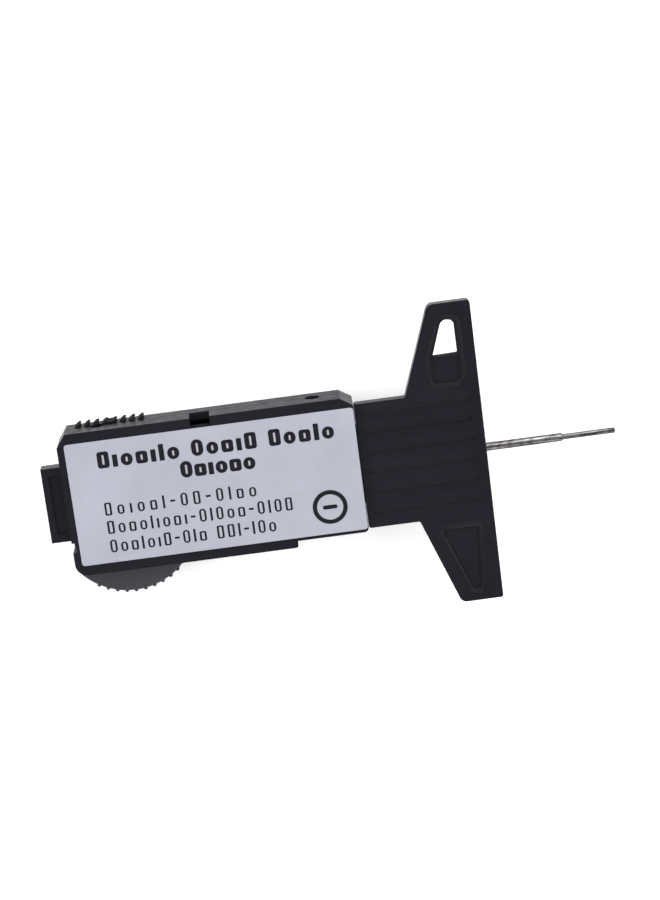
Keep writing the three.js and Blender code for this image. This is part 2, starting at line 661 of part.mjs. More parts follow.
const BUTTON_MATERIALS = { power: RED_PLASTIC, units: GREY_PLASTIC, zero: GREY_PLASTIC };
BUTTONS.forEach(([name, x]) => {
  addPiece(`button_${name}`, button(x), BUTTON_MATERIALS[name]);
  addPiece(`dome_${name}`, dome(x), NICKEL);
});

// ---- battery ------------------------------------------------------------------------------------

function batteryCell() {
  const top = CELL_BOTTOM + CELL_HEIGHT;
  const can = bar(CELL_X, CELL_Y, CELL_RADIUS, CELL_BOTTOM, top - 0.5, 36);
  const cap = bar(CELL_X, CELL_Y, CELL_RADIUS - 0.9, top - 0.6, top, 36);
  return join(can, cap);
}

function batteryCover() {
  const lugReach = CAP_RADIUS + 0.6;
  const disc = bar(CELL_X, CELL_Y, CAP_RADIUS, CAP_BOTTOM, CAP_TOP, 36);
  const lugs = box(CELL_X - lugReach, CELL_X + lugReach, CELL_Y - 0.9, CELL_Y + 0.9, 0.6, CAP_TOP);
  const coinSlot = box(CELL_X - 4.5, CELL_X + 4.5, CELL_Y - 0.8, CELL_Y + 0.8, -1, CAP_BOTTOM + 0.45);
  return cut(join(disc, lugs), coinSlot);
}

addPiece('battery_cell', batteryCell(), NICKEL);
addPiece('battery_cover', batteryCover(), BLACK_PLASTIC);
const negativeLeaf = [[CELL_Y - 2, 6.8], [CELL_Y + 1, 6.74], [CELL_Y + 4, 6.8], [CELL_Y + 8.6, 6.8]];
addPiece('battery_contact_negative', strip(negativeLeaf, 0.12, CELL_X - 1.5, CELL_X + 1.5, 'x'), NICKEL);
const positiveLeaf = [[CELL_Y + 6.05, 2.2], [CELL_Y + 5.98, 4], [CELL_Y + 6.1, 5.7], [CELL_Y + 8.6, 5.76]];
addPiece('battery_contact_positive', strip(positiveLeaf, 0.15, CELL_X - 1.5, CELL_X + 1.5, 'x'), NICKEL);

// ---- origin -------------------------------------------------------------------------------------

gauge.position.x = -(TRAVEL + BEAM_END) / 2;

export default gauge;
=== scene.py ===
"""Looks of a digital tread depth gauge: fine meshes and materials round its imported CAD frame.

Lengths in the building code are millimetres in the frame's own axes (+X to the probe's tip, +Y to
the wing with the hang hole, +Z out of the label). make_object() turns them into metres.
"""
import math

import bmesh
import bpy
from mathutils import Matrix, Vector


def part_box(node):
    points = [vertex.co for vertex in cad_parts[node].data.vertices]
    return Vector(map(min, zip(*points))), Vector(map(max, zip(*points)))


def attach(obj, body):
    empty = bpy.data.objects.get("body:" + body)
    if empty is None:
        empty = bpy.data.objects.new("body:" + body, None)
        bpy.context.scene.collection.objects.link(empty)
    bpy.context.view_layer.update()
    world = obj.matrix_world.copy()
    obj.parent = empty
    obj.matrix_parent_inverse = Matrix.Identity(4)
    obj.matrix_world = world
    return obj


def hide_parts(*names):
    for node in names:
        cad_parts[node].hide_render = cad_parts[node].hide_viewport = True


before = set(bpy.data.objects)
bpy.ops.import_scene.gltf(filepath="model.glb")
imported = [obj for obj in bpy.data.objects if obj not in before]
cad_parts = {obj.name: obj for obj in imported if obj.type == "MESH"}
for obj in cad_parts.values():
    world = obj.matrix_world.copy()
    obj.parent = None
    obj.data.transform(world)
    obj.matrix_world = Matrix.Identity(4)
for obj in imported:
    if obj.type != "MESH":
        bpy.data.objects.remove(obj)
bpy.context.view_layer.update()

MM = 0.001
TAU = 2 * math.pi


class Span:
    """The box of a CAD node at rest, in millimetres."""

    def __init__(self, node):
        low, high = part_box(node)
        self.x0, self.y0, self.z0 = (v / MM for v in low)
        self.x1, self.y1, self.z1 = (v / MM for v in high)
        self.x, self.y = (self.x0 + self.x1) / 2, (self.y0 + self.y1) / 2


BASE, COVER, FRONT = Span("base_beam"), Span("rear_cover"), Span("front_housing")
LABEL, SLEEVE, PIN = Span("rear_label"), Span("probe_sleeve"), Span("probe_pin")
CAP, CELL = Span("battery_cover"), Span("battery_cell")
WINDOW, LCD, PLATE = Span("display_window"), Span("lcd_panel"), Span("front_faceplate")
BUTTON_NODES = ("button_power", "button_units", "button_zero")
KEYS = [Span(node) for node in BUTTON_NODES]
FACE = BASE.x1  # the measuring face

# ---- camera -------------------------------------------------------------------------------------

CAMERA_LENS = 100.3
CAMERA_DISTANCE = 0.4835
CAMERA_TILT = math.radians(14.5)  # from the label's normal, towards +Y
CAMERA_ROLL = math.radians(7.51)  # the gauge rises to the right
CAMERA_TARGET = Vector(((FACE - 30.1) * MM, 0.00447, LABEL.z1 * MM))


def add_camera():
    data = bpy.data.cameras.new("camera")
    data.lens = CAMERA_LENS
    data.clip_start = 0.01
    back = Vector((0, math.sin(CAMERA_TILT), math.cos(CAMERA_TILT)))
    across = Vector((0, math.cos(CAMERA_TILT), -math.sin(CAMERA_TILT)))
    right = Vector((math.cos(CAMERA_ROLL), 0, 0)) - math.sin(CAMERA_ROLL) * across
    up = back.cross(right)
    camera = bpy.data.objects.new("camera", data)
    turn = Matrix((right, up, back)).transposed().to_4x4()
    camera.matrix_world = Matrix.Translation(CAMERA_TARGET + back * CAMERA_DISTANCE) @ turn
    bpy.context.scene.collection.objects.link(camera)
    bpy.context.scene.camera = camera


add_camera()

# ---- mesh kit -----------------------------------------------------------------------------------


def make_object(name, bm):
    """A mesh object in metres from a bmesh in millimetres."""
    bmesh.ops.recalc_face_normals(bm, faces=bm.faces)
    bmesh.ops.scale(bm, vec=(MM, MM, MM), verts=bm.verts)
    mesh = bpy.data.meshes.new(name)
    bm.to_mesh(mesh)
    bm.free()
    piece = bpy.data.objects.new(name, mesh)
    bpy.context.scene.collection.objects.link(piece)
    return piece


def outline(corners, steps=8):
    """Points round (x, y, radius) corners; a corner with a radius becomes an arc."""
    points = []
    for i, (x, y, radius) in enumerate(corners):
        corner = Vector((x, y))
        before = (Vector(corners[i - 1][:2]) - corner).normalized()
        after = (Vector(corners[(i + 1) % len(corners)][:2]) - corner).normalized()
        if radius == 0:
            points.append((x, y))
            continue
        half = before.angle(after) / 2
        centre = corner + (before + after).normalized() * (radius / math.sin(half))
        start = corner + before * (radius / math.tan(half)) - centre
        end = corner + after * (radius / math.tan(half)) - centre
        first = math.atan2(start.y, start.x)
        sweep = (math.atan2(end.y, end.x) - first + math.pi) % TAU - math.pi
        for k in range(steps + 1):
            angle = first + sweep * k / steps
            points.append((centre.x + radius * math.cos(angle), centre.y + radius * math.sin(angle)))
    return points


def circle(x, y, radius, sides=48):
    """Points of a circle, from +X anticlockwise."""
    angles = [TAU * k / sides for k in range(sides)]
    return [(x + radius * math.cos(angle), y + radius * math.sin(angle)) for angle in angles]


def rectangle(x0, x1, y0, y1, radius=0, steps=6):
    return outline([(x0, y0, radius), (x1, y0, radius), (x1, y1, radius), (x0, y1, radius)], steps)


def add_prism(bm, points, z0, z1):
    """A straight prism on a flat outline, added to a bmesh."""
    low = [bm.verts.new((x, y, z0)) for x, y in points]
    high = [bm.verts.new((x, y, z1)) for x, y in points]
    bm.faces.new(low[::-1])
    bm.faces.new(high)
    for i in range(len(points)):
        j = (i + 1) % len(points)
        bm.faces.new((low[i], low[j], high[j], high[i]))
    return low + high


def add_rings(bm, rings):
    """A closed skin through rings of equal point counts, with flat ends."""
    rows = [[bm.verts.new(point) for point in ring] for ring in rings]
    bm.faces.new(rows[0][::-1])
    bm.faces.new(rows[-1])
    for lower, upper in zip(rows, rows[1:]):
        for i in range(len(lower)):
            j = (i + 1) % len(lower)
            bm.faces.new((lower[i], lower[j], upper[j], upper[i]))
    return [vertex for row in rows for vertex in row]


def prism(name, points, z0, z1):
    bm = bmesh.new()
    add_prism(bm, points, z0, z1)
    return make_object(name, bm)


def block(name, x0, x1, y0, y1, z0, z1):
    return prism(name, rectangle(x0, x1, y0, y1), z0, z1)


def lathe(name, profile, centre, axis="Z", sides=48):
    """A turned piece from (distance along the axis, radius) pairs, closed at both ends."""
    bm = bmesh.new()
    rings = []
    for along, radius in profile:
        ring = []
        for k in range(sides):
            u, v = radius * math.cos(TAU * k / sides), radius * math.sin(TAU * k / sides)
            ring.append({"X": (along, u, v), "Y": (v, along, u), "Z": (u, v, along)}[axis])
        rings.append(ring)
    vertices = add_rings(bm, rings)
    bmesh.ops.translate(bm, vec=centre, verts=vertices)
    return make_object(name, bm)


def bake(piece):
    """Applies the piece's modifiers to its mesh."""
    graph = bpy.context.evaluated_depsgraph_get()
    mesh = bpy.data.meshes.new_from_object(piece.evaluated_get(graph))
    piece.modifiers.clear()
    old, piece.data = piece.data, mesh
    bpy.data.meshes.remove(old)
    mesh.name = piece.name
    return piece


def combine(piece, operation, *tools):
    """Joins or cuts the piece with closed tools, which are used up."""
    for tool in tools:
        modifier = piece.modifiers.new("combine", "BOOLEAN")
        modifier.operation = operation
        modifier.solver = "EXACT"
        modifier.object = tool
    bake(piece)
    for tool in tools:
        mesh = tool.data
        bpy.data.objects.remove(tool)
        bpy.data.meshes.remove(mesh)
    return piece


def join(piece, *tools):
    return combine(piece, "UNION", *tools)


def cut(piece, *tools):
    return combine(piece, "DIFFERENCE", *tools)


def clean(piece):
    """Merges doubles and dissolves the edges that a boolean leaves inside flat faces."""
    bm = bmesh.new()
    bm.from_mesh(piece.data)
    bmesh.ops.remove_doubles(bm, verts=bm.verts, dist=2e-6)
    bmesh.ops.dissolve_limit(bm, angle_limit=math.radians(0.4), verts=bm.verts, edges=bm.edges)
    bm.to_mesh(piece.data)
    bm.free()


def round_edges(piece, radius, segments=3, angle=32):
    """Rounds every edge sharper than the angle, in degrees."""
    clean(piece)
    modifier = piece.modifiers.new("round", "BEVEL")
    modifier.width = radius * MM
    modifier.segments = segments
    modifier.limit_method = "ANGLE"
    modifier.angle_limit = math.radians(angle)
    modifier.use_clamp_overlap = True
    modifier.loop_slide = True
    return bake(piece)


def smooth(piece, angle=38):
    """Smooth shading with flat faces kept flat."""
    piece.data.shade_smooth()
    piece.data.set_sharp_from_angle(angle=math.radians(angle))
    modifier = piece.modifiers.new("even", "WEIGHTED_NORMAL")
    modifier.keep_sharp = True
    modifier.weight = 90
    return piece


def dress(piece, body, slot, material, *nodes):
    """Gives a finished piece its material, body and the CAD nodes it stands for; the slot is not used.
    """
    piece.data.materials.clear()
    piece.data.materials.append(material)
    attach(piece, body)
    if nodes:
        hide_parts(*nodes)
    return piece


def paint(piece, material, where):
    """Gives another material to the faces whose centre, in millimetres, passes the test."""
    piece.data.materials.append(material)
    index = len(piece.data.materials) - 1
    for face in piece.data.polygons:
        if where(face.center / MM):
            face.material_index = index


# ---- materials ----------------------------------------------------------------------------------


class Surface:
    """A Principled material and the few node patterns that the surfaces share."""

    def __init__(self, name, **values):
        self.material = bpy.data.materials.new(name)
        self.material.use_nodes = True
        self.nodes = self.material.node_tree.nodes
        self.links = self.material.node_tree.links
        self.shader = self.nodes["Principled BSDF"]
        for socket, value in values.items():
            self.shader.inputs[socket.replace("_", " ")].default_value = value
        self.place = self.nodes.new("ShaderNodeTexCoord").outputs["Object"]
        self.height = None

    def noise(self, scale, detail=3, stretch=(1, 1, 1), roughness=0.5):
        """Noise with a feature size of about 1 / scale millimetres."""
        mapping = self.nodes.new("ShaderNodeMapping")
        mapping.inputs["Scale"].default_value = [s / MM for s in stretch]
        noise = self.nodes.new("ShaderNodeTexNoise")
        noise.inputs["Scale"].default_value = scale
        noise.inputs["Detail"].default_value = detail
        noise.inputs["Roughness"].default_value = roughness
        self.links.new(self.place, mapping.inputs["Vector"])
        self.links.new(mapping.outputs["Vector"], noise.inputs["Vector"])
        return noise.outputs["Fac"]

    def ramp(self, factor, *stops):
        """A colour ramp of (position, colour) stops."""
        node = self.nodes.new("ShaderNodeValToRGB")
        elements = node.color_ramp.elements
        while len(elements) < len(stops):
            elements.new(0.5)
        for element, (position, colour) in zip(elements, stops):
            element.position = position
            element.color = (*colour, 1)
        self.links.new(factor, node.inputs["Fac"])
        return node.outputs["Color"]

    def blend(self, factor, first, second, mode="MIX"):
        node = self.nodes.new("ShaderNodeMix")
        node.data_type = "RGBA"
        node.blend_type = mode
        for index, value in ((0, factor), (6, first), (7, second)):
            socket = node.inputs[index]
            if isinstance(value, (tuple, float, int)):
                socket.default_value = (*value, 1) if isinstance(value, tuple) else value
            else:
                self.links.new(value, socket)
        return node.outputs[2]

    def spread(self, factor, low, high, start=0.3, end=0.7):
        """Maps a factor between start and end to values between low and high."""
        node = self.nodes.new("ShaderNodeMapRange")
        for socket, value in zip(("From Min", "From Max", "To Min", "To Max"), (start, end, low, high)):
            node.inputs[socket].default_value = value
        self.links.new(factor, node.inputs["Value"])
        return node.outputs["Result"]

    def drive(self, socket, output):
        self.links.new(output, self.shader.inputs[socket])

    def bump(self, factor, depth, strength=0.5):
        """Adds a relief of the given depth in millimetres; calls stack."""
        node = self.nodes.new("ShaderNodeBump")
        node.inputs["Strength"].default_value = strength
        node.inputs["Distance"].default_value = depth * MM
        self.links.new(factor, node.inputs["Height"])
        if self.height is not None:
            self.links.new(self.height, node.inputs["Normal"])
        self.height = node.outputs["Normal"]
        self.links.new(self.height, self.shader.inputs["Normal"])


def moulded_plastic(name, dark, light, roughness, grain=5.0, relief=0.012, gloss=0.4):
    """Injection-moulded plastic: eroded-mould grain, faint flow clouds and handling marks."""
    surface = Surface(name, Specular_IOR_Level=gloss)
    clouds = surface.noise(0.09, detail=4, stretch=(0.5, 1, 1))
    speck = surface.noise(grain * 0.7, detail=2)
    tint = surface.ramp(clouds, (0.3, dark), (0.7, light))
    fleck = surface.ramp(speck, (0.35, (0.82, 0.82, 0.82)), (0.65, (1.0, 1.0, 1.0)))
    surface.drive("Base Color", surface.blend(1.0, tint, fleck, "MULTIPLY"))
    wear = surface.noise(0.6, 5)
    surface.drive("Roughness", surface.spread(wear, roughness - 0.06, roughness + 0.07))
    surface.bump(surface.noise(grain, detail=3, roughness=0.6), relief)
    surface.bump(surface.noise(0.25, detail=2), 0.03, 0.25)
    return surface.material


def printed_foil(name, dark, light, roughness=0.42):
    """Silver-grey label stock: fine metallic fleck, slight unevenness, hairline rubs."""
    surface = Surface(name, Metallic=0.12, Specular_IOR_Level=0.5)
    fleck = surface.noise(7.0, detail=2, roughness=0.7)
    clouds = surface.noise(0.12, detail=3)
    rubs = surface.noise(2.2, detail=2, stretch=(0.05, 1, 1))
    tint = surface.ramp(clouds, (0.3, dark), (0.7, light))
    grain = surface.ramp(fleck, (0.3, (0.9, 0.9, 0.91)), (0.7, (1.0, 1.0, 1.0)))
    surface.drive("Base Color", surface.blend(1.0, tint, grain, "MULTIPLY"))
    surface.drive("Roughness", surface.spread(rubs, roughness - 0.06, roughness + 0.1))
    surface.bump(fleck, 0.004, 0.4)
    return surface.material


def printing_ink(name, colour, thin):
    """Screen-printed ink with a slightly uneven edge and cover."""
    surface = Surface(name, Specular_IOR_Level=0.15)
    cover = surface.noise(4.0, detail=3)
    surface.drive("Base Color", surface.ramp(cover, (0.35, colour), (0.75, thin)))
    surface.drive("Roughness", surface.spread(cover, 0.45, 0.62))
    surface.bump(cover, 0.004, 0.3)
    return surface.material


def ground_steel(name, dark, light, rim, roughness, lines=(0.12, 1.6, 1.6)):
    """Steel with fine marks drawn along X, darker towards its rim, where the rim colour paints a dark
    reflection.
    """
    surface = Surface(name, Metallic=1.0, Specular_Tint=(*rim, 1))
    marks = surface.noise(1.4, detail=4, stretch=lines)
    stains = surface.noise(1.1, detail=5, stretch=(0.6, 1, 1), roughness=0.65)
    tint = surface.ramp(marks, (0.35, dark), (0.65, light))
    aged = surface.ramp(stains, (0.38, (0.35, 0.34, 0.34)), (0.62, (1.0, 1.0, 1.0)))
    surface.drive("Base Color", surface.blend(1.0, tint, aged, "MULTIPLY"))
    surface.drive("Roughness", surface.spread(marks, roughness - 0.05, roughness + 0.09))
    surface.bump(marks, 0.005, 0.4)
    return surface.material


def coated_metal(name, dark, light, roughness):
    """Plated metal with an even satin grain."""
    surface = Surface(name, Metallic=1.0)
    grain = surface.noise(3.5, detail=4)
    stains = surface.noise(0.4, detail=3)
    surface.drive("Base Color", surface.ramp(stains, (0.3, dark), (0.7, light)))
    surface.drive("Roughness", surface.spread(grain, roughness - 0.05, roughness + 0.12))
    surface.bump(grain, 0.004, 0.4)
    return surface.material


def laminate(name, mask, copper):
    """Circuit board: solder mask with copper lines showing through."""
    surface = Surface(name, Specular_IOR_Level=0.5)
    weave = surface.noise(5.0, detail=2)
    lanes = surface.noise(0.9, detail=1, stretch=(0.3, 1.6, 1))
    tint = surface.ramp(lanes, (0.47, mask), (0.5, copper), (0.53, mask))
    shade = surface.ramp(weave, (0.3, (0.85, 0.85, 0.85)), (0.7, (1.0, 1.0, 1.0)))
    surface.drive("Base Color", surface.blend(1.0, tint, shade, "MULTIPLY"))
    surface.drive("Roughness", surface.spread(weave, 0.28, 0.42))
    surface.bump(lanes, 0.02, 0.4)
    return surface.material


def clear_plastic(name, tint, roughness=0.06):
    """Clear moulded window with faint swirl and dust."""
    surface = Surface(name, Transmission_Weight=1.0, IOR=1.49)
    dust = surface.noise(1.6, detail=5)
    surface.drive("Roughness", surface.spread(dust, roughness, roughness + 0.08, 0.45, 0.75))
    surface.drive("Base Color", surface.ramp(dust, (0.4, tint), (0.8, tuple(0.95 * c for c in tint))))
    surface.bump(surface.noise(0.1, detail=1), 0.01, 0.2)
    return surface.material


def soft_rubber(name, dark, light):
    """Rubber made of thin layers, conducting and not."""
    surface = Surface(name, Specular_IOR_Level=0.3)
    layers = surface.noise(1.0, detail=1, stretch=(1, 1, 8))
    surface.drive("Base Color", surface.ramp(layers, (0.4, dark), (0.6, light)))
    surface.drive("Roughness", surface.spread(layers, 0.7, 0.85))
    surface.bump(surface.noise(4.0), 0.01)
    return surface.material


def display_glass(name):
    """Reflective display glass: grey-green, with a faint pixel veil."""
    surface = Surface(name, Coat_Weight=0.6, Coat_Roughness=0.08)
    veil = surface.noise(0.15, detail=2)
    fine = surface.noise(8.0, detail=1)
    tint = surface.ramp(veil, (0.3, (0.26, 0.3, 0.23)), (0.7, (0.31, 0.35, 0.27)))
    pixels = surface.ramp(fine, (0.3, (0, 0, 0)), (0.7, (1, 1, 1)))
    surface.drive("Base Color", surface.blend(0.12, tint, pixels))
    surface.drive("Roughness", surface.spread(fine, 0.3, 0.4))
    return surface.material


BLACK = moulded_plastic(
    "black_plastic", (0.0088, 0.0083, 0.012), (0.0118, 0.0113, 0.0162), 0.34, gloss=0.1)
# painted shade: a darker copy of the black plastic for the head ribs' flanks that face away from the
# far light
SHADED_FLANK_BLACK = moulded_plastic(
    "flank_painted_shade", (0.0062, 0.0058, 0.0088), (0.0084, 0.008, 0.0118), 0.34, gloss=0.08)
GRIP = moulded_plastic(
    "grip_plastic", (0.027, 0.027, 0.033), (0.037, 0.037, 0.045), 0.6, grain=3.6, relief=0.02)
SIDE_BLACK = moulded_plastic(
    "side_plastic", (0.0085, 0.008, 0.0122), (0.0115, 0.011, 0.0165), 0.4, gloss=0.08)
# painted shade: a darker, duller copy of the black plastic for faces that lie in shade
SHADE_BLACK = moulded_plastic(
    "shaded_plastic", (0.003, 0.003, 0.004), (0.005, 0.005, 0.006), 0.8, gloss=0.1)
FOIL = printed_foil("label_foil", (0.335, 0.343, 0.398), (0.37, 0.38, 0.44))
FILM = printed_foil("overlay_film", (0.42, 0.44, 0.48), (0.48, 0.5, 0.54))
INK = printing_ink("label_ink", (0.004, 0.004, 0.0065), (0.009, 0.009, 0.013))
GHOST_INK = printing_ink("display_segment", (0.15, 0.175, 0.13), (0.18, 0.2, 0.15))
# painted reflection: a near-black edge tint that darkens the steel's rim as if it mirrored dark
# surroundings
STEEL_DARK_RIM_REFLECTION = (0.02, 0.02, 0.02)
STEEL = ground_steel("probe_steel", (0.11, 0.106, 0.106), (0.32, 0.31, 0.31), STEEL_DARK_RIM_REFLECTION, 0.24)
PIN_STEEL = ground_steel("pin_steel", (0.07, 0.068, 0.07), (0.22, 0.215, 0.22), STEEL_DARK_RIM_REFLECTION, 0.28)
ZINC = coated_metal("screw_steel", (0.45, 0.45, 0.46), (0.6, 0.6, 0.6), 0.3)
NICKEL = coated_metal("nickel", (0.55, 0.53, 0.49), (0.68, 0.66, 0.62), 0.25)
BRASS = coated_metal("brass", (0.5, 0.34, 0.12), (0.66, 0.47, 0.18), 0.3)
GREEN = laminate("circuit_laminate", (0.012, 0.09, 0.035), (0.03, 0.2, 0.08))
SCALE = laminate("scale_board", (0.02, 0.07, 0.035), (0.25, 0.16, 0.06))
CLEAR = clear_plastic("clear_window", (0.93, 0.96, 0.93))
RUBBER = soft_rubber("zebra_rubber", (0.03, 0.03, 0.03), (0.16, 0.15, 0.15))
LCD_GLASS = display_glass("lcd_glass")
RED = moulded_plastic("button_red", (0.32, 0.025, 0.02), (0.4, 0.04, 0.028), 0.42)
GREY = moulded_plastic("button_grey", (0.24, 0.25, 0.28), (0.3, 0.31, 0.34), 0.45)
EPOXY = moulded_plastic("epoxy", (0.004, 0.004, 0.0045), (0.007, 0.007, 0.0075), 0.25, grain=1.2)

# ---- base: T-shaped head, ribs, pockets, beam ---------------------------------------------------

HEAD_TOP = BASE.z1 - 0.4  # the ribs stand 0.4 above it
HEAD_PLATE = 2.3
HEAD_END = FACE - 24.5
HEAD_HALF = 12.5
WING_TIP = 8.2
WING_ROOT = 14.5
SPINE_HALF = 7.0
BEAM_HALF = 7.5
BEAM_TOP = 11.2
BEAM_EDGE = 3.0
CHANNEL = (FACE - 79, FACE - 25.6)  # the open channel that the probe and its holder run in
CHANNEL_HALF = 6.0
CHANNEL_FLOOR = 8.75
RECESS = (FACE - 82, FACE - 25.8)  # the scale's recess on the display side
RECESS_HALF = 5.8
RECESS_CEILING = 7.85
END_SLOT = (FACE - 84.9, FACE - 83)
END_SLOT_HALF = 5.85
END_SLOT_DEPTH = 0.45
EMBED = 0.004  # how far the soft ribs and beads start below the head's face
POCKET_DEPTH = 0.3
POCKET_FLOOR = (0.84, 0.93)  # the floor's share of the pocket's opening
BEAD_HALF = 0.5
BEAD_HEIGHT = 0.16
PROBE_Z = (SLEEVE.z0 + SLEEVE.z1) / 2
RIB_COUNT = 6
RIB_PITCH = 4.02
RIB_SHIFT = 1.45  # of the ribs' middle from the head's middle
RIB_HALF = 1.5
RIB_HEIGHT = 0.2
RIB_RUN_OUT = 1.6
RIB_SPAN = (FACE - 23.8, FACE - 1.5)
RIBS = [((k - (RIB_COUNT - 1) / 2) * RIB_PITCH + RIB_SHIFT, RIB_HALF) for k in range(RIB_COUNT - 1)]
RIBS.append((HEAD_HALF - 1.4, 1.2))  # the last one is narrower, beside the head's edge
BORE_RADIUS = 0.9


def soft_rib(bm, x0, x1, y, half):
    """A low round ridge along X that runs out into the face at both ends."""
    steps = 12
    rings = []
    run_out = ((0, 0), (RIB_RUN_OUT * 0.33, 0.25), (RIB_RUN_OUT * 0.66, 0.75), (RIB_RUN_OUT, 1))
    sections = [(x0 + along, lift) for along, lift in run_out]
    sections += [(x1 - along, lift) for along, lift in reversed(run_out)]
    for x, lift in sections:
        ring = [(x, y - half, HEAD_TOP - 0.4)]
        for k in range(steps + 1):
            t = k / steps
            z = HEAD_TOP - EMBED + lift * RIB_HEIGHT * (1 - math.cos(TAU * t)) / 2
            ring.append((x, y - half + 2 * half * t, z))
        ring.append((x, y + half, HEAD_TOP - 0.4))
        rings.append(ring)
    add_rings(bm, rings)


def offset(points, distance):
    """The outline moved sideways; a positive distance makes it larger."""
    count = len(points)
    area = sum(points[i - 1][0] * points[i][1] - points[i][0] * points[i - 1][1] for i in range(count))
    side = math.copysign(1, area)
    moved = []
    for i, (x, y) in enumerate(points):
        along = Vector(points[(i + 1) % count]) - Vector(points[i - 1])
        along.normalize()
        moved.append((x + side * distance * along.y, y - side * distance * along.x))
    return moved


def add_bead(bm, corners):
    """A low round bead that follows an outline on the head's face."""
    steps = 8
    line = outline(corners)
    rows = [(BEAD_HALF, HEAD_TOP - 0.25)]
    for k in range(steps + 1):
        across = BEAD_HALF * (1 - 2 * k / steps)
        rise = BEAD_HEIGHT * (1 + math.cos(math.pi * across / BEAD_HALF)) / 2
        rows.append((across, HEAD_TOP - EMBED + rise))
    rows.append((-BEAD_HALF, HEAD_TOP - 0.25))
    loops = [[bm.verts.new((x, y, z)) for x, y in offset(line, across)] for across, z in rows]
    for k in range(len(loops)):
        near, far = loops[k], loops[(k + 1) % len(loops)]
        for i in range(len(near)):
            j = (i + 1) % len(near)
            bm.faces.new((near[i], near[j], far[j], far[i]))


def soft_pocket(name, corners, narrow):
    """A tool for a shallow pocket with sloping walls; narrow is the floor's share of the opening."""
    rim = outline(corners)
    middle_x = sum(x for x, _ in rim) / len(rim)
    middle_y = sum(y for _, y in rim) / len(rim)
    rings = []
    sections = ((HEAD_TOP - POCKET_DEPTH, *narrow), (HEAD_TOP, 1, 1), (HEAD_TOP + 1, 1, 1))
    for z, scale_x, scale_y in sections:
        ring = []
        for x, y in rim:
            ring.append((middle_x + (x - middle_x) * scale_x, middle_y + (y - middle_y) * scale_y, z))
        rings.append(ring)
    bm = bmesh.new()
    add_rings(bm, rings)
    return make_object(name, bm)


def is_rib_shade(point):
    """The ribs' flanks that face away from the far light, where shade is painted."""
    if point.z < HEAD_TOP + 0.01 or not FACE - 23.4 < point.x < FACE - 1.9:
        return False
    return any(-0.86 * half < point.y - y < -0.28 * half for y, half in RIBS)


def is_tab_side(point):
    """The thin far side of the beam's end, which gets painted shade."""
    return point.x < FACE - 80 and point.y > BEAM_HALF - 0.05


def is_hole_wall(point):
    """The walls of the hang hole, which lie in their own shade."""
    inside = FACE - 8.6 < point.x < FACE - 3.1 and 19.4 < point.y < 27
    return inside and HEAD_TOP - HEAD_PLATE + 0.02 < point.z < HEAD_TOP - POCKET_DEPTH - 0.02


def build_base():
    half = BASE.y1
    head = [
        (FACE, -half, 0.5), (FACE, half, 0.7), (FACE - WING_TIP, half, 1.5),
        (FACE - WING_ROOT, HEAD_HALF, 0.4), (HEAD_END, HEAD_HALF, 0.5), (HEAD_END, -HEAD_HALF, 0.5),
        (FACE - WING_ROOT, -HEAD_HALF, 0.4), (FACE - WING_TIP, -half, 1.5),
    ]
    piece = prism("base_moulding", outline(head), HEAD_TOP - HEAD_PLATE, HEAD_TOP)
    join(
        piece,
        block("beam", BASE.x0, HEAD_END + 1, -BEAM_HALF, BEAM_HALF, BEAM_TOP - BEAM_EDGE, BEAM_TOP),
        block("spine", BASE.x0, FACE, -SPINE_HALF, SPINE_HALF, BASE.z0, BEAM_TOP - 0.5),
    )
    above = HEAD_TOP + 1
    hole_pocket = [
        (FACE - 2.7, 14, 1.4), (FACE - 2.7, 27.2, 1.7), (FACE - 6.2, 27.2, 1.7), (FACE - 9.2, 19.4, 2),
        (FACE - 9.5, 14, 1.4),
    ]
    plain_pocket = [
        (FACE - 3.5, -27.8, 1.0), (FACE - 2.8, -14.3, 1.2), (FACE - 11.2, -14.3, 1.7),
        (FACE - 6, -27.8, 1.2),
    ]
    hole = [
        (FACE - 3.4, 19.7, 0.2), (FACE - 3.45, 26.6, 1.3), (FACE - 5.9, 26.6, 1.3),
        (FACE - 8.35, 19.6, 0.2),
    ]
    slot = rectangle(*END_SLOT, -END_SLOT_HALF, END_SLOT_HALF, 0.2)
    cut(
        piece,
        soft_pocket("pocket_a", hole_pocket, POCKET_FLOOR),
        soft_pocket("pocket_b", plain_pocket, POCKET_FLOOR),
        prism("hole", outline(hole), BASE.z0 - 1, above),
        block("channel", *CHANNEL, -CHANNEL_HALF, CHANNEL_HALF, CHANNEL_FLOOR, above),
        prism("end_slot", slot, BEAM_TOP - END_SLOT_DEPTH, above),
        block("recess", *RECESS, -RECESS_HALF, RECESS_HALF, BASE.z0 - 1, RECESS_CEILING),
    )
    round_edges(piece, 0.22)
    bm = bmesh.new()
    for y, rib_half in RIBS:
        soft_rib(bm, *RIB_SPAN, y, rib_half)
    add_bead(bm, hole_pocket)
    add_bead(bm, plain_pocket)
    way = [(FACE - 27, BORE_RADIUS), (FACE - 0.45, BORE_RADIUS), (FACE + 0.5, 1.5)]
    bore = lathe("bore", way, (0, 0, PROBE_Z), "X", 32)
    join(piece, make_object("ribs", bm))
    cut(piece, bore)
    dress(smooth(piece), "base", "black_plastic", BLACK, "base_beam")
    # painted shade on the hang hole's walls and on the beam end's far side
    paint(piece, SHADE_BLACK, lambda point: is_hole_wall(point) or is_tab_side(point))
    # painted shade on the ribs' flanks that face away from the far light
    paint(piece, SHADED_FLANK_BLACK, is_rib_shade)


build_base()

# ---- slider shells ------------------------------------------------------------------------------

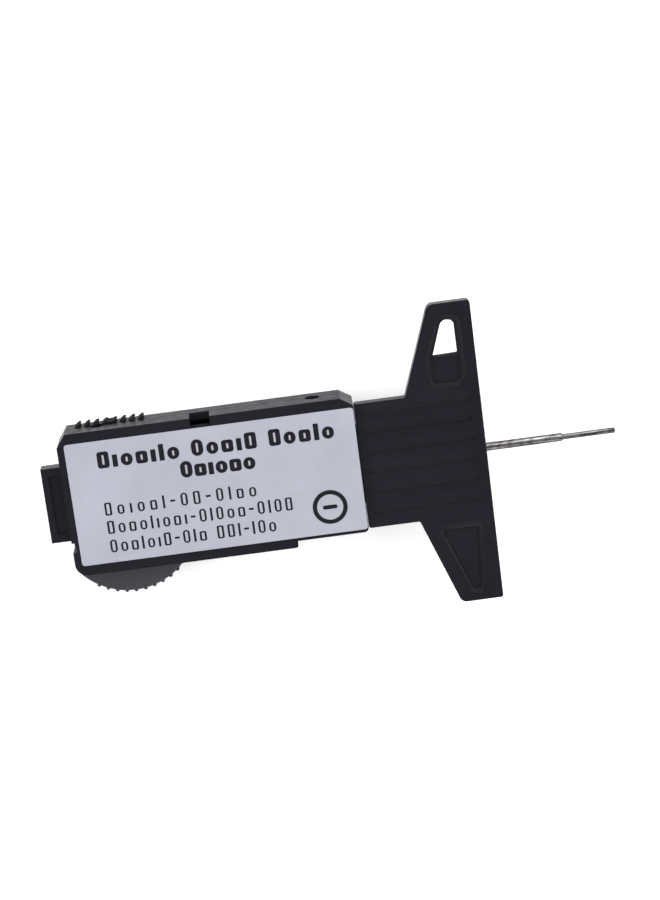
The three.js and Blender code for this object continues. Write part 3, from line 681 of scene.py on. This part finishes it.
SIDE = 14.25  # half the slider's width
STEP_SIDE = 12.9
STEP_X = FACE - 38.6
FRONT_INSET = 1.6
FLANGE_BOTTOM = 5.5
WALL = 1.5
NOTCH = (FACE - 56.2, FACE - 52.3)
NOTCH_EDGE = 12.45
COVER_SCREWS = [Span(f"cover_screw_{k + 1}") for k in range(4)]
GIB_SCREWS = (Span("gib_screw_left"), Span("gib_screw_right"))
GIB_HOLES = [(screw.x, screw.z0 + 1.2) for screw in GIB_SCREWS]
GIB_HOLE_RADIUS = 1.45
BOSS_RADIUS = 2.2
CELL_WALL_RADIUS = 7.1
TUNNEL_GAP = 0.3  # between the beam and the way through the shells
SIDE_RIB_COUNT = 8
SIDE_RIB_PITCH = 1.757
SIDE_RIB_FIRST = FACE - 77.9
SIDE_PAD = (SIDE_RIB_FIRST + 3 * SIDE_RIB_PITCH, SIDE_RIB_FIRST + 4 * SIDE_RIB_PITCH)
HEAD_GAP = 0.22  # how much closer to the head the cover's end comes than the CAD's
END_GROW = 0.2  # and how much further out its other end is
NOTCH_BOTTOM = 9.0
GRIP_AT = (FACE - 71.6, -6.4)
GRIP_RADIUS = 13.6
GRIP_LEFT = FACE - 82.15
GRIP_CORNER = 2.5
GRIP_DROP = 0.06  # how far its face lies below the flange's
NUB_COUNT = 10
NUB_FIRST = math.radians(-121.2)
NUB_PITCH = math.radians(7.87)


def slider_outline(inset=0.0, corner=2.4):
    left, right = COVER.x0 - END_GROW + inset, COVER.x1 + HEAD_GAP - inset
    half, step = SIDE - inset, STEP_SIDE - inset
    return outline([
        (left, -half, max(corner - inset, 0.6)), (STEP_X - inset, -half, 0.5),
        (STEP_X - inset, -step, 0), (right, -step, 0.9), (right, half - 1.6, 0),
        (right - 2.4, half, 0), (left + 1.8, half, 0), (left, half - 2.5, 0),
    ])


def tapered_shell(name, z0, z1, inset0, inset1):
    """The slider's outline, drawn in by different amounts at the two heights."""
    bm = bmesh.new()
    rings = [[(x, y, z) for x, y in slider_outline(inset)] for z, inset in ((z0, inset0), (z1, inset1))]
    add_rings(bm, rings)
    return make_object(name, bm)


def side_cuts():
    """Tools for the notch, the end relief, the gib screw holes and the beam's way through."""
    half = BEAM_HALF + TUNNEL_GAP
    bottom, top = BASE.z0 - TUNNEL_GAP, BEAM_TOP + TUNNEL_GAP
    tools = [
        block("notch", *NOTCH, NOTCH_EDGE, SIDE + 2, NOTCH_BOTTOM, COVER.z1 + 1),
        block("relief", COVER.x0 - 1, COVER.x0 + 0.35, -8.4, -7.5, -1, COVER.z1 + 1),
        block("relief", COVER.x0 - 1, COVER.x0 + 0.65, -9.5, -8.3, -1, COVER.z1 + 1),
        block("tunnel", COVER.x0 - 2, COVER.x1 + 2, -half, half, bottom, top),
    ]
    for x, z in GIB_HOLES:
        way = [(SIDE - 4.5, GIB_HOLE_RADIUS), (SIDE + 2, GIB_HOLE_RADIUS)]
        tools.append(lathe("gib_hole", way, (x, 0, z), "Y", 40))
    return tools


def add_side_ribs(bm, z0, z1):
    """Finger ribs: fins that lean towards the head, with softened crests and ends."""
    back = SIDE - 0.4
    heights = (
        (z0, 0.45), (z0 + 0.25, 0.66), (z0 + 0.5, 0.7), (z1 - 0.7, 0.7), (z1 - 0.3, 0.6), (z1, 0.3),
    )
    for k in range(SIDE_RIB_COUNT):
        x = SIDE_RIB_FIRST + k * SIDE_RIB_PITCH
        rings = []
        for z, proud in heights:
            profile = [
                (x - 0.75, back), (x + 0.3, back), (x + 0.32, SIDE), (x + 0.5, SIDE + proud * 0.55),
                (x + 0.42, SIDE + proud), (x + 0.26, SIDE + proud * 1.04),
                (x - 0.15, SIDE + proud * 0.72), (x - 0.75, SIDE),
            ]
            rings.append([(px, py, z) for px, py in profile])
        add_rings(bm, rings)


def is_side_rib(point):
    """The finger ribs and the pad between them, which get painted shade."""
    return point.y > SIDE + 0.02


def is_side_wall(point):
    """The flat side with the finger ribs, more matt than the chamfers."""
    return SIDE - 0.05 < point.y < SIDE + 0.02


def is_notch(point):
    """The walls of the notch, which lie in its own shade."""
    across = NOTCH[0] - 0.01 < point.x < NOTCH[1] + 0.01
    return across and NOTCH_EDGE - 0.01 < point.y < SIDE - 0.3 and point.z < COVER.z1 - 0.02


def gib_pads(z0, z1):
    """The thick places in the side wall that the gib screws run in."""
    return [block("gib_pad", x - 2.6, x + 2.6, SIDE - 3.6, SIDE - 1, z0, z1) for x, _ in GIB_HOLES]


def bosses(z0, z1):
    """The posts for the four screws that hold the shells together."""
    profile = [(z0, BOSS_RADIUS), (z1, BOSS_RADIUS)]
    return [lathe("boss", profile, (screw.x, screw.y, 0)) for screw in COVER_SCREWS]


def build_rear_cover():
    bottom, top = COVER.z0, COVER.z1
    ceiling = top - 1.7
    piece = prism("rear_shell", slider_outline(), bottom, top)
    cut(piece, prism("inside", slider_outline(WALL), bottom - 1, ceiling))
    join(piece, *gib_pads(bottom, ceiling + 0.5), *bosses(bottom, ceiling + 0.5))
    cut(piece, *side_cuts())
    round_edges(piece, 0.22)
    way = [(bottom - 1, 1.05), (top - 1.45, 1.05), (top - 1.45, 1.95), (top + 1, 1.95)]
    holes = [lathe("screw_way", way, (screw.x, screw.y, 0)) for screw in COVER_SCREWS]
    holder = Span("holder_screw")
    way = [(ceiling - 1, 1.0), (top - 0.9, 1.0), (top - 0.9, 1.8), (top + 1, 1.8)]
    holes.append(lathe("holder_way", way, (holder.x, holder.y, 0)))
    cut(piece, *holes)
    dress(smooth(piece), "slider", "black_plastic", BLACK, "rear_cover")
    paint(piece, SIDE_BLACK, is_side_wall)
    # painted shade on the notch's walls
    paint(piece, SHADE_BLACK, is_notch)


def grip_outline(grow=0.0):
    """The half-moon grip: a disc with its left end straight and the corner there rounded."""
    gx, gy = GRIP_AT
    radius, corner, left = GRIP_RADIUS + grow, GRIP_CORNER, GRIP_LEFT - grow
    corner_x = left + corner
    corner_y = gy - math.sqrt((radius - corner) ** 2 - (corner_x - gx) ** 2)
    tangent = math.atan2(corner_y - gy, corner_x - gx)
    points = [(left, gy - 5)]
    for k in range(13):
        angle = -math.pi + (tangent + math.pi) * k / 12
        points.append((corner_x + corner * math.cos(angle), corner_y + corner * math.sin(angle)))
    last = math.asin(-5 / radius)
    for k in range(1, 49):
        angle = tangent + (last - tangent) * k / 48
        points.append((gx + radius * math.cos(angle), gy + radius * math.sin(angle)))
    return points


def grip_moon(bottom, top):
    """The grip's solid, with its rim drawn in softly at both ends."""
    bm = bmesh.new()
    rings = []
    sections = (
        (bottom, 0.5), (bottom + 0.35, 0.12), (bottom + 0.8, 0), (top - 0.9, 0), (top - 0.4, 0.12),
        (top - 0.12, 0.35), (top, 0.7),
    )
    for z, inset in sections:
        rings.append([(x, y, z) for x, y in grip_outline(-inset)])
    add_rings(bm, rings)
    return make_object("moon", bm)


def grip_nubs(bottom, top):
    bm = bmesh.new()
    gx, gy = GRIP_AT
    reach = GRIP_RADIUS - 0.05
    sections = (
        (bottom, 0.1), (bottom + 0.25, 0.36), (bottom + 0.5, 0.42), (top - 0.5, 0.42),
        (top - 0.25, 0.36), (top, 0.1),
    )
    for k in range(NUB_COUNT):
        angle = NUB_FIRST + k * NUB_PITCH
        x, y = gx + reach * math.cos(angle), gy + reach * math.sin(angle)
        rings = []
        for z, radius in sections:
            rings.append([(px, py, z) for px, py in circle(x, y, radius, 14)])
        add_rings(bm, rings)
    return make_object("nubs", bm)


def build_front_housing():
    top = FRONT.z1
    floor = 1.6
    piece = tapered_shell("front_shell", 0, FLANGE_BOTTOM + 0.4, FRONT_INSET + 0.12, FRONT_INSET - 0.1)
    join(piece, prism("flange", slider_outline(), FLANGE_BOTTOM, top))
    join(piece, grip_moon(0, top - GRIP_DROP))
    cut(
        piece,
        prism("inside", slider_outline(FRONT_INSET + 1.3), floor, top + 1),
        prism("upper_inside", slider_outline(WALL), FLANGE_BOTTOM + 1.35, top + 1),
    )
    wall = [(floor - 0.2, CELL_WALL_RADIUS), (top - 0.1, CELL_WALL_RADIUS)]
    inner = lathe("cell_wall", wall, (CELL.x, CELL.y, 0), sides=64)
    join(inner, *gib_pads(7, top - 0.02), *bosses(floor - 0.2, top - 0.02))
    # the walls and posts inside stay within the shell's own skin
    skin = tapered_shell("skin", floor - 0.3, FLANGE_BOTTOM + 0.4, FRONT_INSET + 0.3, FRONT_INSET + 0.1)
    flange_skin = prism("flange_skin", slider_outline(0.3), FLANGE_BOTTOM + 0.3, top)
    join(skin, flange_skin, grip_moon(0.5, top - 0.1))
    combine(inner, "INTERSECT", skin)
    join(piece, inner)
    cut(piece, *side_cuts())
    cut(
        piece,
        prism("plate_bed", plate_outline(-0.2), -1, 0.42),
        prism("cap_way", circle(CAP.x, CAP.y, 6.85, 72), -1, 1.15),
        prism("cap_groove", circle(CAP.x, CAP.y, 7.45, 72), 0.5, 1.15),
        prism("cell_room", circle(CELL.x, CELL.y, 6.1, 72), 0.6, 6.95),
        block("display", WINDOW.x0 + 0.85, WINDOW.x1 - 0.85, WINDOW.y0 + 0.85, WINDOW.y1 - 0.55, -1, 3),
        block("rebate", WINDOW.x0 - 0.2, WINDOW.x1 + 0.2, WINDOW.y0 - 0.2, WINDOW.y1 + 0.2, 0.85, 3),
        *[prism("button_way", circle(key.x, key.y, 2.7), -1, 3) for key in KEYS],
        lug_way(),
    )
    round_edges(piece, 0.18, 2)
    join(piece, grip_nubs(0.9, top - 0.35))
    details = bmesh.new()
    add_side_ribs(details, FLANGE_BOTTOM + 0.02, top)
    pad = block("side_pad", *SIDE_PAD, SIDE - 0.4, SIDE + 0.4, FLANGE_BOTTOM + 0.1, top - 0.05)
    round_edges(pad, 0.12, 2)
    join(piece, make_object("details", details), pad)
    dress(smooth(piece), "slider", "grip_plastic", BLACK, "front_housing")
    paint(piece, SIDE_BLACK, is_side_wall)
    # painted shade on the finger ribs and the pad between them
    paint(piece, SHADE_BLACK, is_side_rib)
    paint(piece, GRIP, is_grip)


def is_grip(point):
    """The half-moon's own surface: its rim, its nubs and its label-side face."""
    gx, gy = GRIP_AT
    outside = point.y < -12.0 and point.x < FACE - 61 and point.z > 0.5
    return outside and math.hypot(point.x - gx, point.y - gy) > 8


def lug_way():
    """The two ways in for the battery cover's lugs, at 45 degrees to where they lock."""
    bm = bmesh.new()
    vertices = add_prism(bm, rectangle(-7.4, 7.4, -1.2, 1.2), -1, 0.8)
    bmesh.ops.rotate(bm, matrix=Matrix.Rotation(-math.pi / 4, 3, "Z"), verts=vertices)
    bmesh.ops.translate(bm, vec=(CAP.x, CAP.y, 0), verts=vertices)
    return make_object("lug_way", bm)


def plate_outline(inset=0.0):
    """The display-side overlay: an L that leaves room for the battery cover."""
    x0, x1, y0, y1 = PLATE.x0 + inset, PLATE.x1 - inset, PLATE.y0 + inset, PLATE.y1 - inset
    inner, shelf = FACE - 63.0 + inset, -3.4 + inset
    return outline([
        (inner, y0, 0.6), (x1, y0, 0.8), (x1, y1 - 1.2, 0.3), (x1 - 1.2, y1, 0.3), (x0 + 0.9, y1, 0.3),
        (x0, y1 - 0.9, 0.3), (x0, shelf, 0.8), (inner, shelf, 0.8),
    ])


build_rear_cover()
build_front_housing()

# ---- label and its print ------------------------------------------------------------------------


LABEL_CORNER = 0.6


def build_label():
    sheet = rectangle(LABEL.x0, LABEL.x1, LABEL.y0, LABEL.y1, LABEL_CORNER, 10)
    piece = prism("label_plate", sheet, LABEL.z0, LABEL.z1)
    round_edges(piece, 0.06, 2)
    dress(smooth(piece), "slider", "label_foil", FOIL, "rear_label")


def add_loop(bm, outer, inner, z0, z1):
    """A flat ring between two outlines with the same number of points."""
    rows = [[bm.verts.new((x, y, z)) for x, y in points] for points, z in
            ((outer, z0), (outer, z1), (inner, z1), (inner, z0))]
    for k in range(4):
        near, far = rows[k], rows[(k + 1) % 4]
        for i in range(len(near)):
            j = (i + 1) % len(near)
            bm.faces.new((near[i], near[j], far[j], far[i]))


def add_mark(bm, kind, x, y, width, height, stroke, z0, z1):
    """One neutral mark in place of a printed character: a bar, a dash or a ring."""
    if kind in "Ii":
        add_prism(bm, rectangle(x, x + width, y, y + height, stroke * 0.12, 2), z0, z1)
    elif kind == "-":
        y0, y1 = y + height * 0.5 - stroke * 0.5, y + height * 0.5 + stroke * 0.5
        add_prism(bm, rectangle(x, x + width, y0, y1, stroke * 0.12, 2), z0, z1)
    else:
        radius = min(width, height) * (0.49 if kind in "Oo" else 0.25)
        hollow = max(radius - stroke, 0.04)
        y0, y1 = y + stroke * 0.75, y + height - stroke * 0.75
        inner = rectangle(x + stroke, x + width - stroke, y0, y1, hollow, 5)
        add_loop(bm, rectangle(x, x + width, y, y + height, radius, 5), inner, z0, z1)


def add_mark_row(bm, marks, x, y, end, height, width, stroke, z0, z1):
    """Marks fitted between x and end; capitals are full height, a blank is a gap between groups."""
    widths = {"I": stroke * 1.05, "i": stroke * 1.05, "-": width * 0.7, " ": width * 0.5}
    sizes = [widths.get(mark, width) for mark in marks]
    gap = (end - x - sum(sizes)) / (len(sizes) - 1)
    for mark, size in zip(marks, sizes):
        if mark != " ":
            add_mark(bm, mark, x, y, size, height * (0.74 if mark.islower() else 1.0), stroke, z0, z1)
        x += size + gap


def build_label_print():
    """Neutral marks where the label is printed: two heavy rows, three thin ones and a symbol."""
    bm = bmesh.new()
    z0, z1 = LABEL.z1 - 0.01, LABEL.z1 + 0.015
    left, top = LABEL.x0, LABEL.y1
    heavy = (("BiobiIo OobiB BobIo", 6.0, 51.9, 2.2), ("Obiobo", 21.6, 36.1, 6.2))
    for marks, start, end, drop in heavy:
        add_mark_row(bm, marks, left + start, top - drop - 3.3, left + end, 3.3, 2.3, 0.95, z0, z1)
    thin = (
        ("BoiobI-OB-OIbo", 35.5, 12.4), ("BoboIiobi-OIOob-OIOB", 42.1, 16.1),
        ("OobIoiB-OIb BBI-IOo", 38.4, 19.9),
    )
    for marks, end, drop in thin:
        add_mark_row(bm, marks, left + 6.0, top - drop - 2.6, left + end, 2.6, 1.35, 0.4, z0, z1)
    x, y = left + 49.3, top - 19.1
    add_loop(bm, circle(x, y, 3.4, 64), circle(x, y, 2.55, 64), z0, z1)
    add_prism(bm, rectangle(x - 1.4, x + 1.4, y - 0.4, y + 0.4, 0.3, 4), z0, z1)
    dress(make_object("label_print", bm), "slider", "label_foil", INK)


build_label()
build_label_print()

# ---- probe --------------------------------------------------------------------------------------


def build_probe():
    centre = (0, 0, PROBE_Z)
    radius, end = (SLEEVE.z1 - SLEEVE.z0) / 2, SLEEVE.x1
    profile = [
        (SLEEVE.x0, 0.7), (SLEEVE.x0 + 0.25, radius), (end - 0.22, radius), (end - 0.06, radius - 0.1),
        (end, radius - 0.24), (end, 0.6), (end - 0.5, 0.58),
    ]
    sleeve = lathe("sleeve", profile, centre, "X", 56)
    dress(smooth(sleeve, 30), "slider", "probe_steel", STEEL, "probe_sleeve")
    start = end - 0.4
    radius, end = (PIN.z1 - PIN.z0) / 2, PIN.x1
    profile = [
        (start, 0.4), (start + 0.1, radius), (end - 0.14, radius), (end - 0.04, radius - 0.06),
        (end, radius - 0.16),
    ]
    pin = lathe("pin", profile, centre, "X", 40)
    dress(smooth(pin, 30), "slider", "probe_steel", PIN_STEEL, "probe_pin")


build_probe()

# ---- display side -------------------------------------------------------------------------------


def build_faceplate():
    piece = prism("overlay", plate_outline(), PLATE.z0, PLATE.z1)
    view = rectangle(WINDOW.x0 + 0.6, WINDOW.x1 - 0.6, WINDOW.y0 + 0.6, WINDOW.y1 - 0.3, 0.6)
    cut(
        piece,
        prism("opening", view, -1, 1),
        *[prism("hole", circle(key.x, key.y, 2.85), -1, 1) for key in KEYS],
    )
    round_edges(piece, 0.06, 2)
    dress(smooth(piece), "slider", "overlay_film", FILM, "front_faceplate")


def build_overlay_print():
    """A dark band round the display, a bar under each button and a row of ticks."""
    bm = bmesh.new()
    z0, z1 = PLATE.z0 - 0.015, PLATE.z0 + 0.01
    outer = rectangle(WINDOW.x0 - 0.6, WINDOW.x1 + 0.6, WINDOW.y0 - 0.4, WINDOW.y1 + 0.6, 1.2)
    inner = rectangle(WINDOW.x0 + 0.5, WINDOW.x1 - 0.5, WINDOW.y0 + 0.5, WINDOW.y1 - 0.2, 0.6)
    add_loop(bm, outer, inner, z0, z1)
    for key in KEYS:
        add_prism(bm, rectangle(key.x - 1.6, key.x + 1.6, key.y + 3.3, key.y + 3.75, 0.15), z0, z1)
    for k in range(9):
        x = PLATE.x0 + 3.2 + 1.6 * k
        long = 2.6 if k % 4 == 0 else 1.5
        add_prism(bm, rectangle(x - 0.14, x + 0.14, 1.2, 1.2 + long), z0, z1)
    add_prism(bm, rectangle(PLATE.x0 + 3.06, PLATE.x0 + 16.14, 0.9, 1.2), z0, z1)
    dress(make_object("overlay_print", bm), "slider", "overlay_film", INK)


def build_window():
    bm = bmesh.new()
    z0, z1 = WINDOW.z0, WINDOW.z1
    rings = []
    for z, inset, radius in ((z0, 1.55, 0.5), (z0 + 0.12, 1.25, 0.6), (0.93, 1.15, 0.6)):
        x0, x1 = WINDOW.x0 + inset, WINDOW.x1 - inset
        y0, y1 = WINDOW.y0 + inset, WINDOW.y1 - inset + 0.3
        rings.append((z, rectangle(x0, x1, y0, y1, radius)))
    for z in (0.95, z1):
        rings.append((z, rectangle(WINDOW.x0, WINDOW.x1, WINDOW.y0, WINDOW.y1, 0.6)))
    add_rings(bm, [[(x, y, z) for x, y in ring] for z, ring in rings])
    dress(smooth(make_object("window_pane", bm)), "slider", "clear_window", CLEAR, "display_window")


SEGMENTS = (  # a seven-segment figure, as bars between (x0, y0) and (x1, y1) of a 1 by 2 cell
    ((0, 0), (1, 0)), ((0, 1), (1, 1)), ((0, 2), (1, 2)),
    ((0, 0), (0, 1)), ((0, 1), (0, 2)), ((1, 0), (1, 1)), ((1, 1), (1, 2)),
)


def add_segment(bm, start, end, thick, z0, z1):
    """A bar with pointed ends."""
    a, b = Vector(start), Vector(end)
    along = (b - a).normalized()
    across = Vector((-along.y, along.x)) * thick / 2
    a, b = a + along * 0.18, b - along * 0.18
    tip = along * thick / 2
    points = [a - across + tip, b - across - tip, b, b + across - tip, a + across + tip, a]
    add_prism(bm, [tuple(p) for p in points], z0, z1)


def build_lcd():
    piece = prism("lcd_glass_panel", rectangle(LCD.x0, LCD.x1, LCD.y0, LCD.y1), LCD.z0, LCD.z1)
    round_edges(piece, 0.12, 2)
    dress(smooth(piece), "slider", "lcd_glass", LCD_GLASS, "lcd_panel")
    bm = bmesh.new()
    z0, z1 = LCD.z0 - 0.012, LCD.z0 + 0.01
    # the display is read from below, so its figures run towards -X
    for k in range(5):
        x0, y0 = WINDOW.x - 9.2 + 4.2 * k, WINDOW.y - 3.1
        for (ax, ay), (bx, by) in SEGMENTS:
            add_segment(bm, (x0 + 2.6 * ax, y0 + 3.0 * ay), (x0 + 2.6 * bx, y0 + 3.0 * by), 0.6, z0, z1)
    dress(make_object("display_segments", bm), "slider", "lcd_glass", GHOST_INK)


def build_button(node, material, slot):
    """A round key with a dished face; its flange and stem stay inside."""
    at = Span(node)
    z0, z1 = at.z0, at.z1
    profile = [
        (z0 + 0.12, 0.02), (z0 + 0.12, 1.3), (z0 + 0.02, 1.9), (z0, 2.15), (z0 + 0.06, 2.36),
        (z0 + 0.22, 2.48), (1.7, 2.5), (1.7, 3.15), (1.75, 3.2), (2.25, 3.2), (2.3, 3.1), (2.3, 0.95),
        (z1 - 0.1, 0.9), (z1, 0.75),
    ]
    piece = lathe(node + "_key", profile, (at.x, at.y, 0), sides=56)
    dress(smooth(piece, 30), node, slot, material, node)


def build_battery_cover():
    """A round cap with a coin slot, a raised rim, two lugs and a ring of grip dots."""
    z0, z1 = CAP.z0, CAP.z1
    profile = [
        (z0 + 0.08, 0.02), (z0 + 0.08, 5.1), (z0, 5.3), (z0, 6.3), (z0 + 0.08, 6.5), (z0 + 0.25, 6.6),
        (z1, 6.6),
    ]
    piece = lathe("coin_cap", profile, (CAP.x, CAP.y, 0), sides=96)
    join(piece, block("lugs", CAP.x0, CAP.x1, CAP.y - 0.9, CAP.y + 0.9, 0.6, z1))
    slot_shape = rectangle(CAP.x - 4.5, CAP.x + 4.5, CAP.y - 0.8, CAP.y + 0.8, 0.79, 8)
    cut(piece, prism("coin_slot", slot_shape, -1, z0 + 0.45))
    dots = bmesh.new()
    for k in range(12):
        angle = TAU * (k + 0.5) / 12
        x, y = CAP.x + 5.8 * math.cos(angle), CAP.y + 5.8 * math.sin(angle)
        add_prism(dots, circle(x, y, 0.22, 16), z0 - 0.04, z0 + 0.1)
    round_edges(piece, 0.1, 2)
    join(piece, make_object("dots", dots))
    dress(smooth(piece), "battery_cover", "black_plastic", BLACK, "battery_cover")


build_faceplate()
build_overlay_print()
build_window()
build_lcd()
for button_node in BUTTON_NODES:
    is_red = button_node == "button_power"
    build_button(button_node, RED if is_red else GREY, "button_red" if is_red else "button_grey")
build_battery_cover()

# ---- carried-over CAD pieces --------------------------------------------------------------------

CARRIED = {
    "scale_strip": (SCALE, 0.06), "scale_film": (FILM, 0.03), "circuit_board": (GREEN, 0.06),
    "chip_blob": (EPOXY, 0), "zebra_connector": (RUBBER, 0.1), "probe_holder": (BRASS, 0.2),
    "gib_spring": (ZINC, 0.04), "gib_screw_left": (ZINC, 0.1), "gib_screw_right": (ZINC, 0.1),
    "holder_screw": (ZINC, 0.06), "battery_cell": (NICKEL, 0.25),
    "battery_contact_negative": (NICKEL, 0.02), "battery_contact_positive": (NICKEL, 0.02),
    **{node.replace("button", "dome"): (NICKEL, 0) for node in BUTTON_NODES},
    **{f"cover_screw_{k + 1}": (ZINC, 0.08) for k in range(4)},
    **{f"board_screw_{k + 1}": (ZINC, 0.06) for k in range(2)},
}


def carry_over(node, material, radius):
    """Gives a CAD node its material and, by modifiers, merged corners and rounded edges."""
    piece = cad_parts[node]
    piece.data.materials.clear()
    piece.data.materials.append(material)
    weld = piece.modifiers.new("weld", "WELD")
    weld.merge_threshold = 2e-6
    if radius:
        modifier = piece.modifiers.new("round", "BEVEL")
        modifier.width = radius * MM
        modifier.segments = 2
        modifier.limit_method = "ANGLE"
        modifier.angle_limit = math.radians(40)


for carried_node, (carried_material, carried_radius) in CARRIED.items():
    carry_over(carried_node, carried_material, carried_radius)

# ---- stage --------------------------------------------------------------------------------------

FLOOR_HALF = 1500
FLOOR_GLOW = 0.25  # the paper lies on a faint light table
LIGHT_SIZE = 0.8
SKY_TILT = math.radians(25)


def build_floor():
    bm = bmesh.new()
    add_prism(bm, rectangle(-FLOOR_HALF, FLOOR_HALF, -FLOOR_HALF, FLOOR_HALF), -2, -0.02)
    floor = make_object("floor", bm)
    white = (1, 1, 1, 1)
    surface = Surface("floor_paper", Roughness=0.85, Specular_IOR_Level=0.2, Emission_Color=white)
    surface.shader.inputs["Emission Strength"].default_value = FLOOR_GLOW
    tooth = surface.noise(0.02, detail=2)
    paper = surface.ramp(tooth, (0.3, (0.93, 0.93, 0.93)), (0.7, (0.95, 0.95, 0.95)))
    surface.drive("Base Color", paper)
    floor.data.materials.append(surface.material)


def add_area_light(name, position, power):
    data = bpy.data.lights.new(name, "AREA")
    data.shape = "DISK"
    data.size = LIGHT_SIZE
    data.energy = power
    light = bpy.data.objects.new(name, data)
    light.location = position
    light.rotation_euler = (-Vector(position)).to_track_quat("-Z", "Y").to_euler()
    bpy.context.scene.collection.objects.link(light)


def build_light():
    """Four soft lights round the gauge under a sky that is brightest beyond its far side."""
    world = bpy.data.worlds.new("studio")
    world.use_nodes = True
    nodes, links = world.node_tree.nodes, world.node_tree.links
    place = nodes.new("ShaderNodeTexCoord")
    turn = nodes.new("ShaderNodeMapping")
    turn.inputs["Rotation"].default_value = (SKY_TILT, 0, 0)
    split = nodes.new("ShaderNodeSeparateXYZ")
    ramp = nodes.new("ShaderNodeValToRGB")
    for element, (position, value) in zip(ramp.color_ramp.elements, ((0.1, 0.04), (1.0, 0.75))):
        element.position = position
        element.color = (value, value, value, 1)
    links.new(place.outputs["Generated"], turn.inputs["Vector"])
    links.new(turn.outputs["Vector"], split.inputs["Vector"])
    links.new(split.outputs["Z"], ramp.inputs["Fac"])
    links.new(ramp.outputs["Color"], nodes["Background"].inputs["Color"])
    nodes["Background"].inputs["Strength"].default_value = 1.0
    bpy.context.scene.world = world
    add_area_light("light_far", (0.1, 0.85, 0.5), 8.3)
    add_area_light("light_near", (-0.1, -0.85, 0.6), 4.5)
    add_area_light("light_left", (-0.85, 0.1, 0.55), 6.2)
    add_area_light("light_right", (0.85, 0.1, 0.55), 6.2)
    view = bpy.context.scene.view_settings
    view.view_transform = "Standard"
    view.exposure = 0.0


build_floor()
build_light()
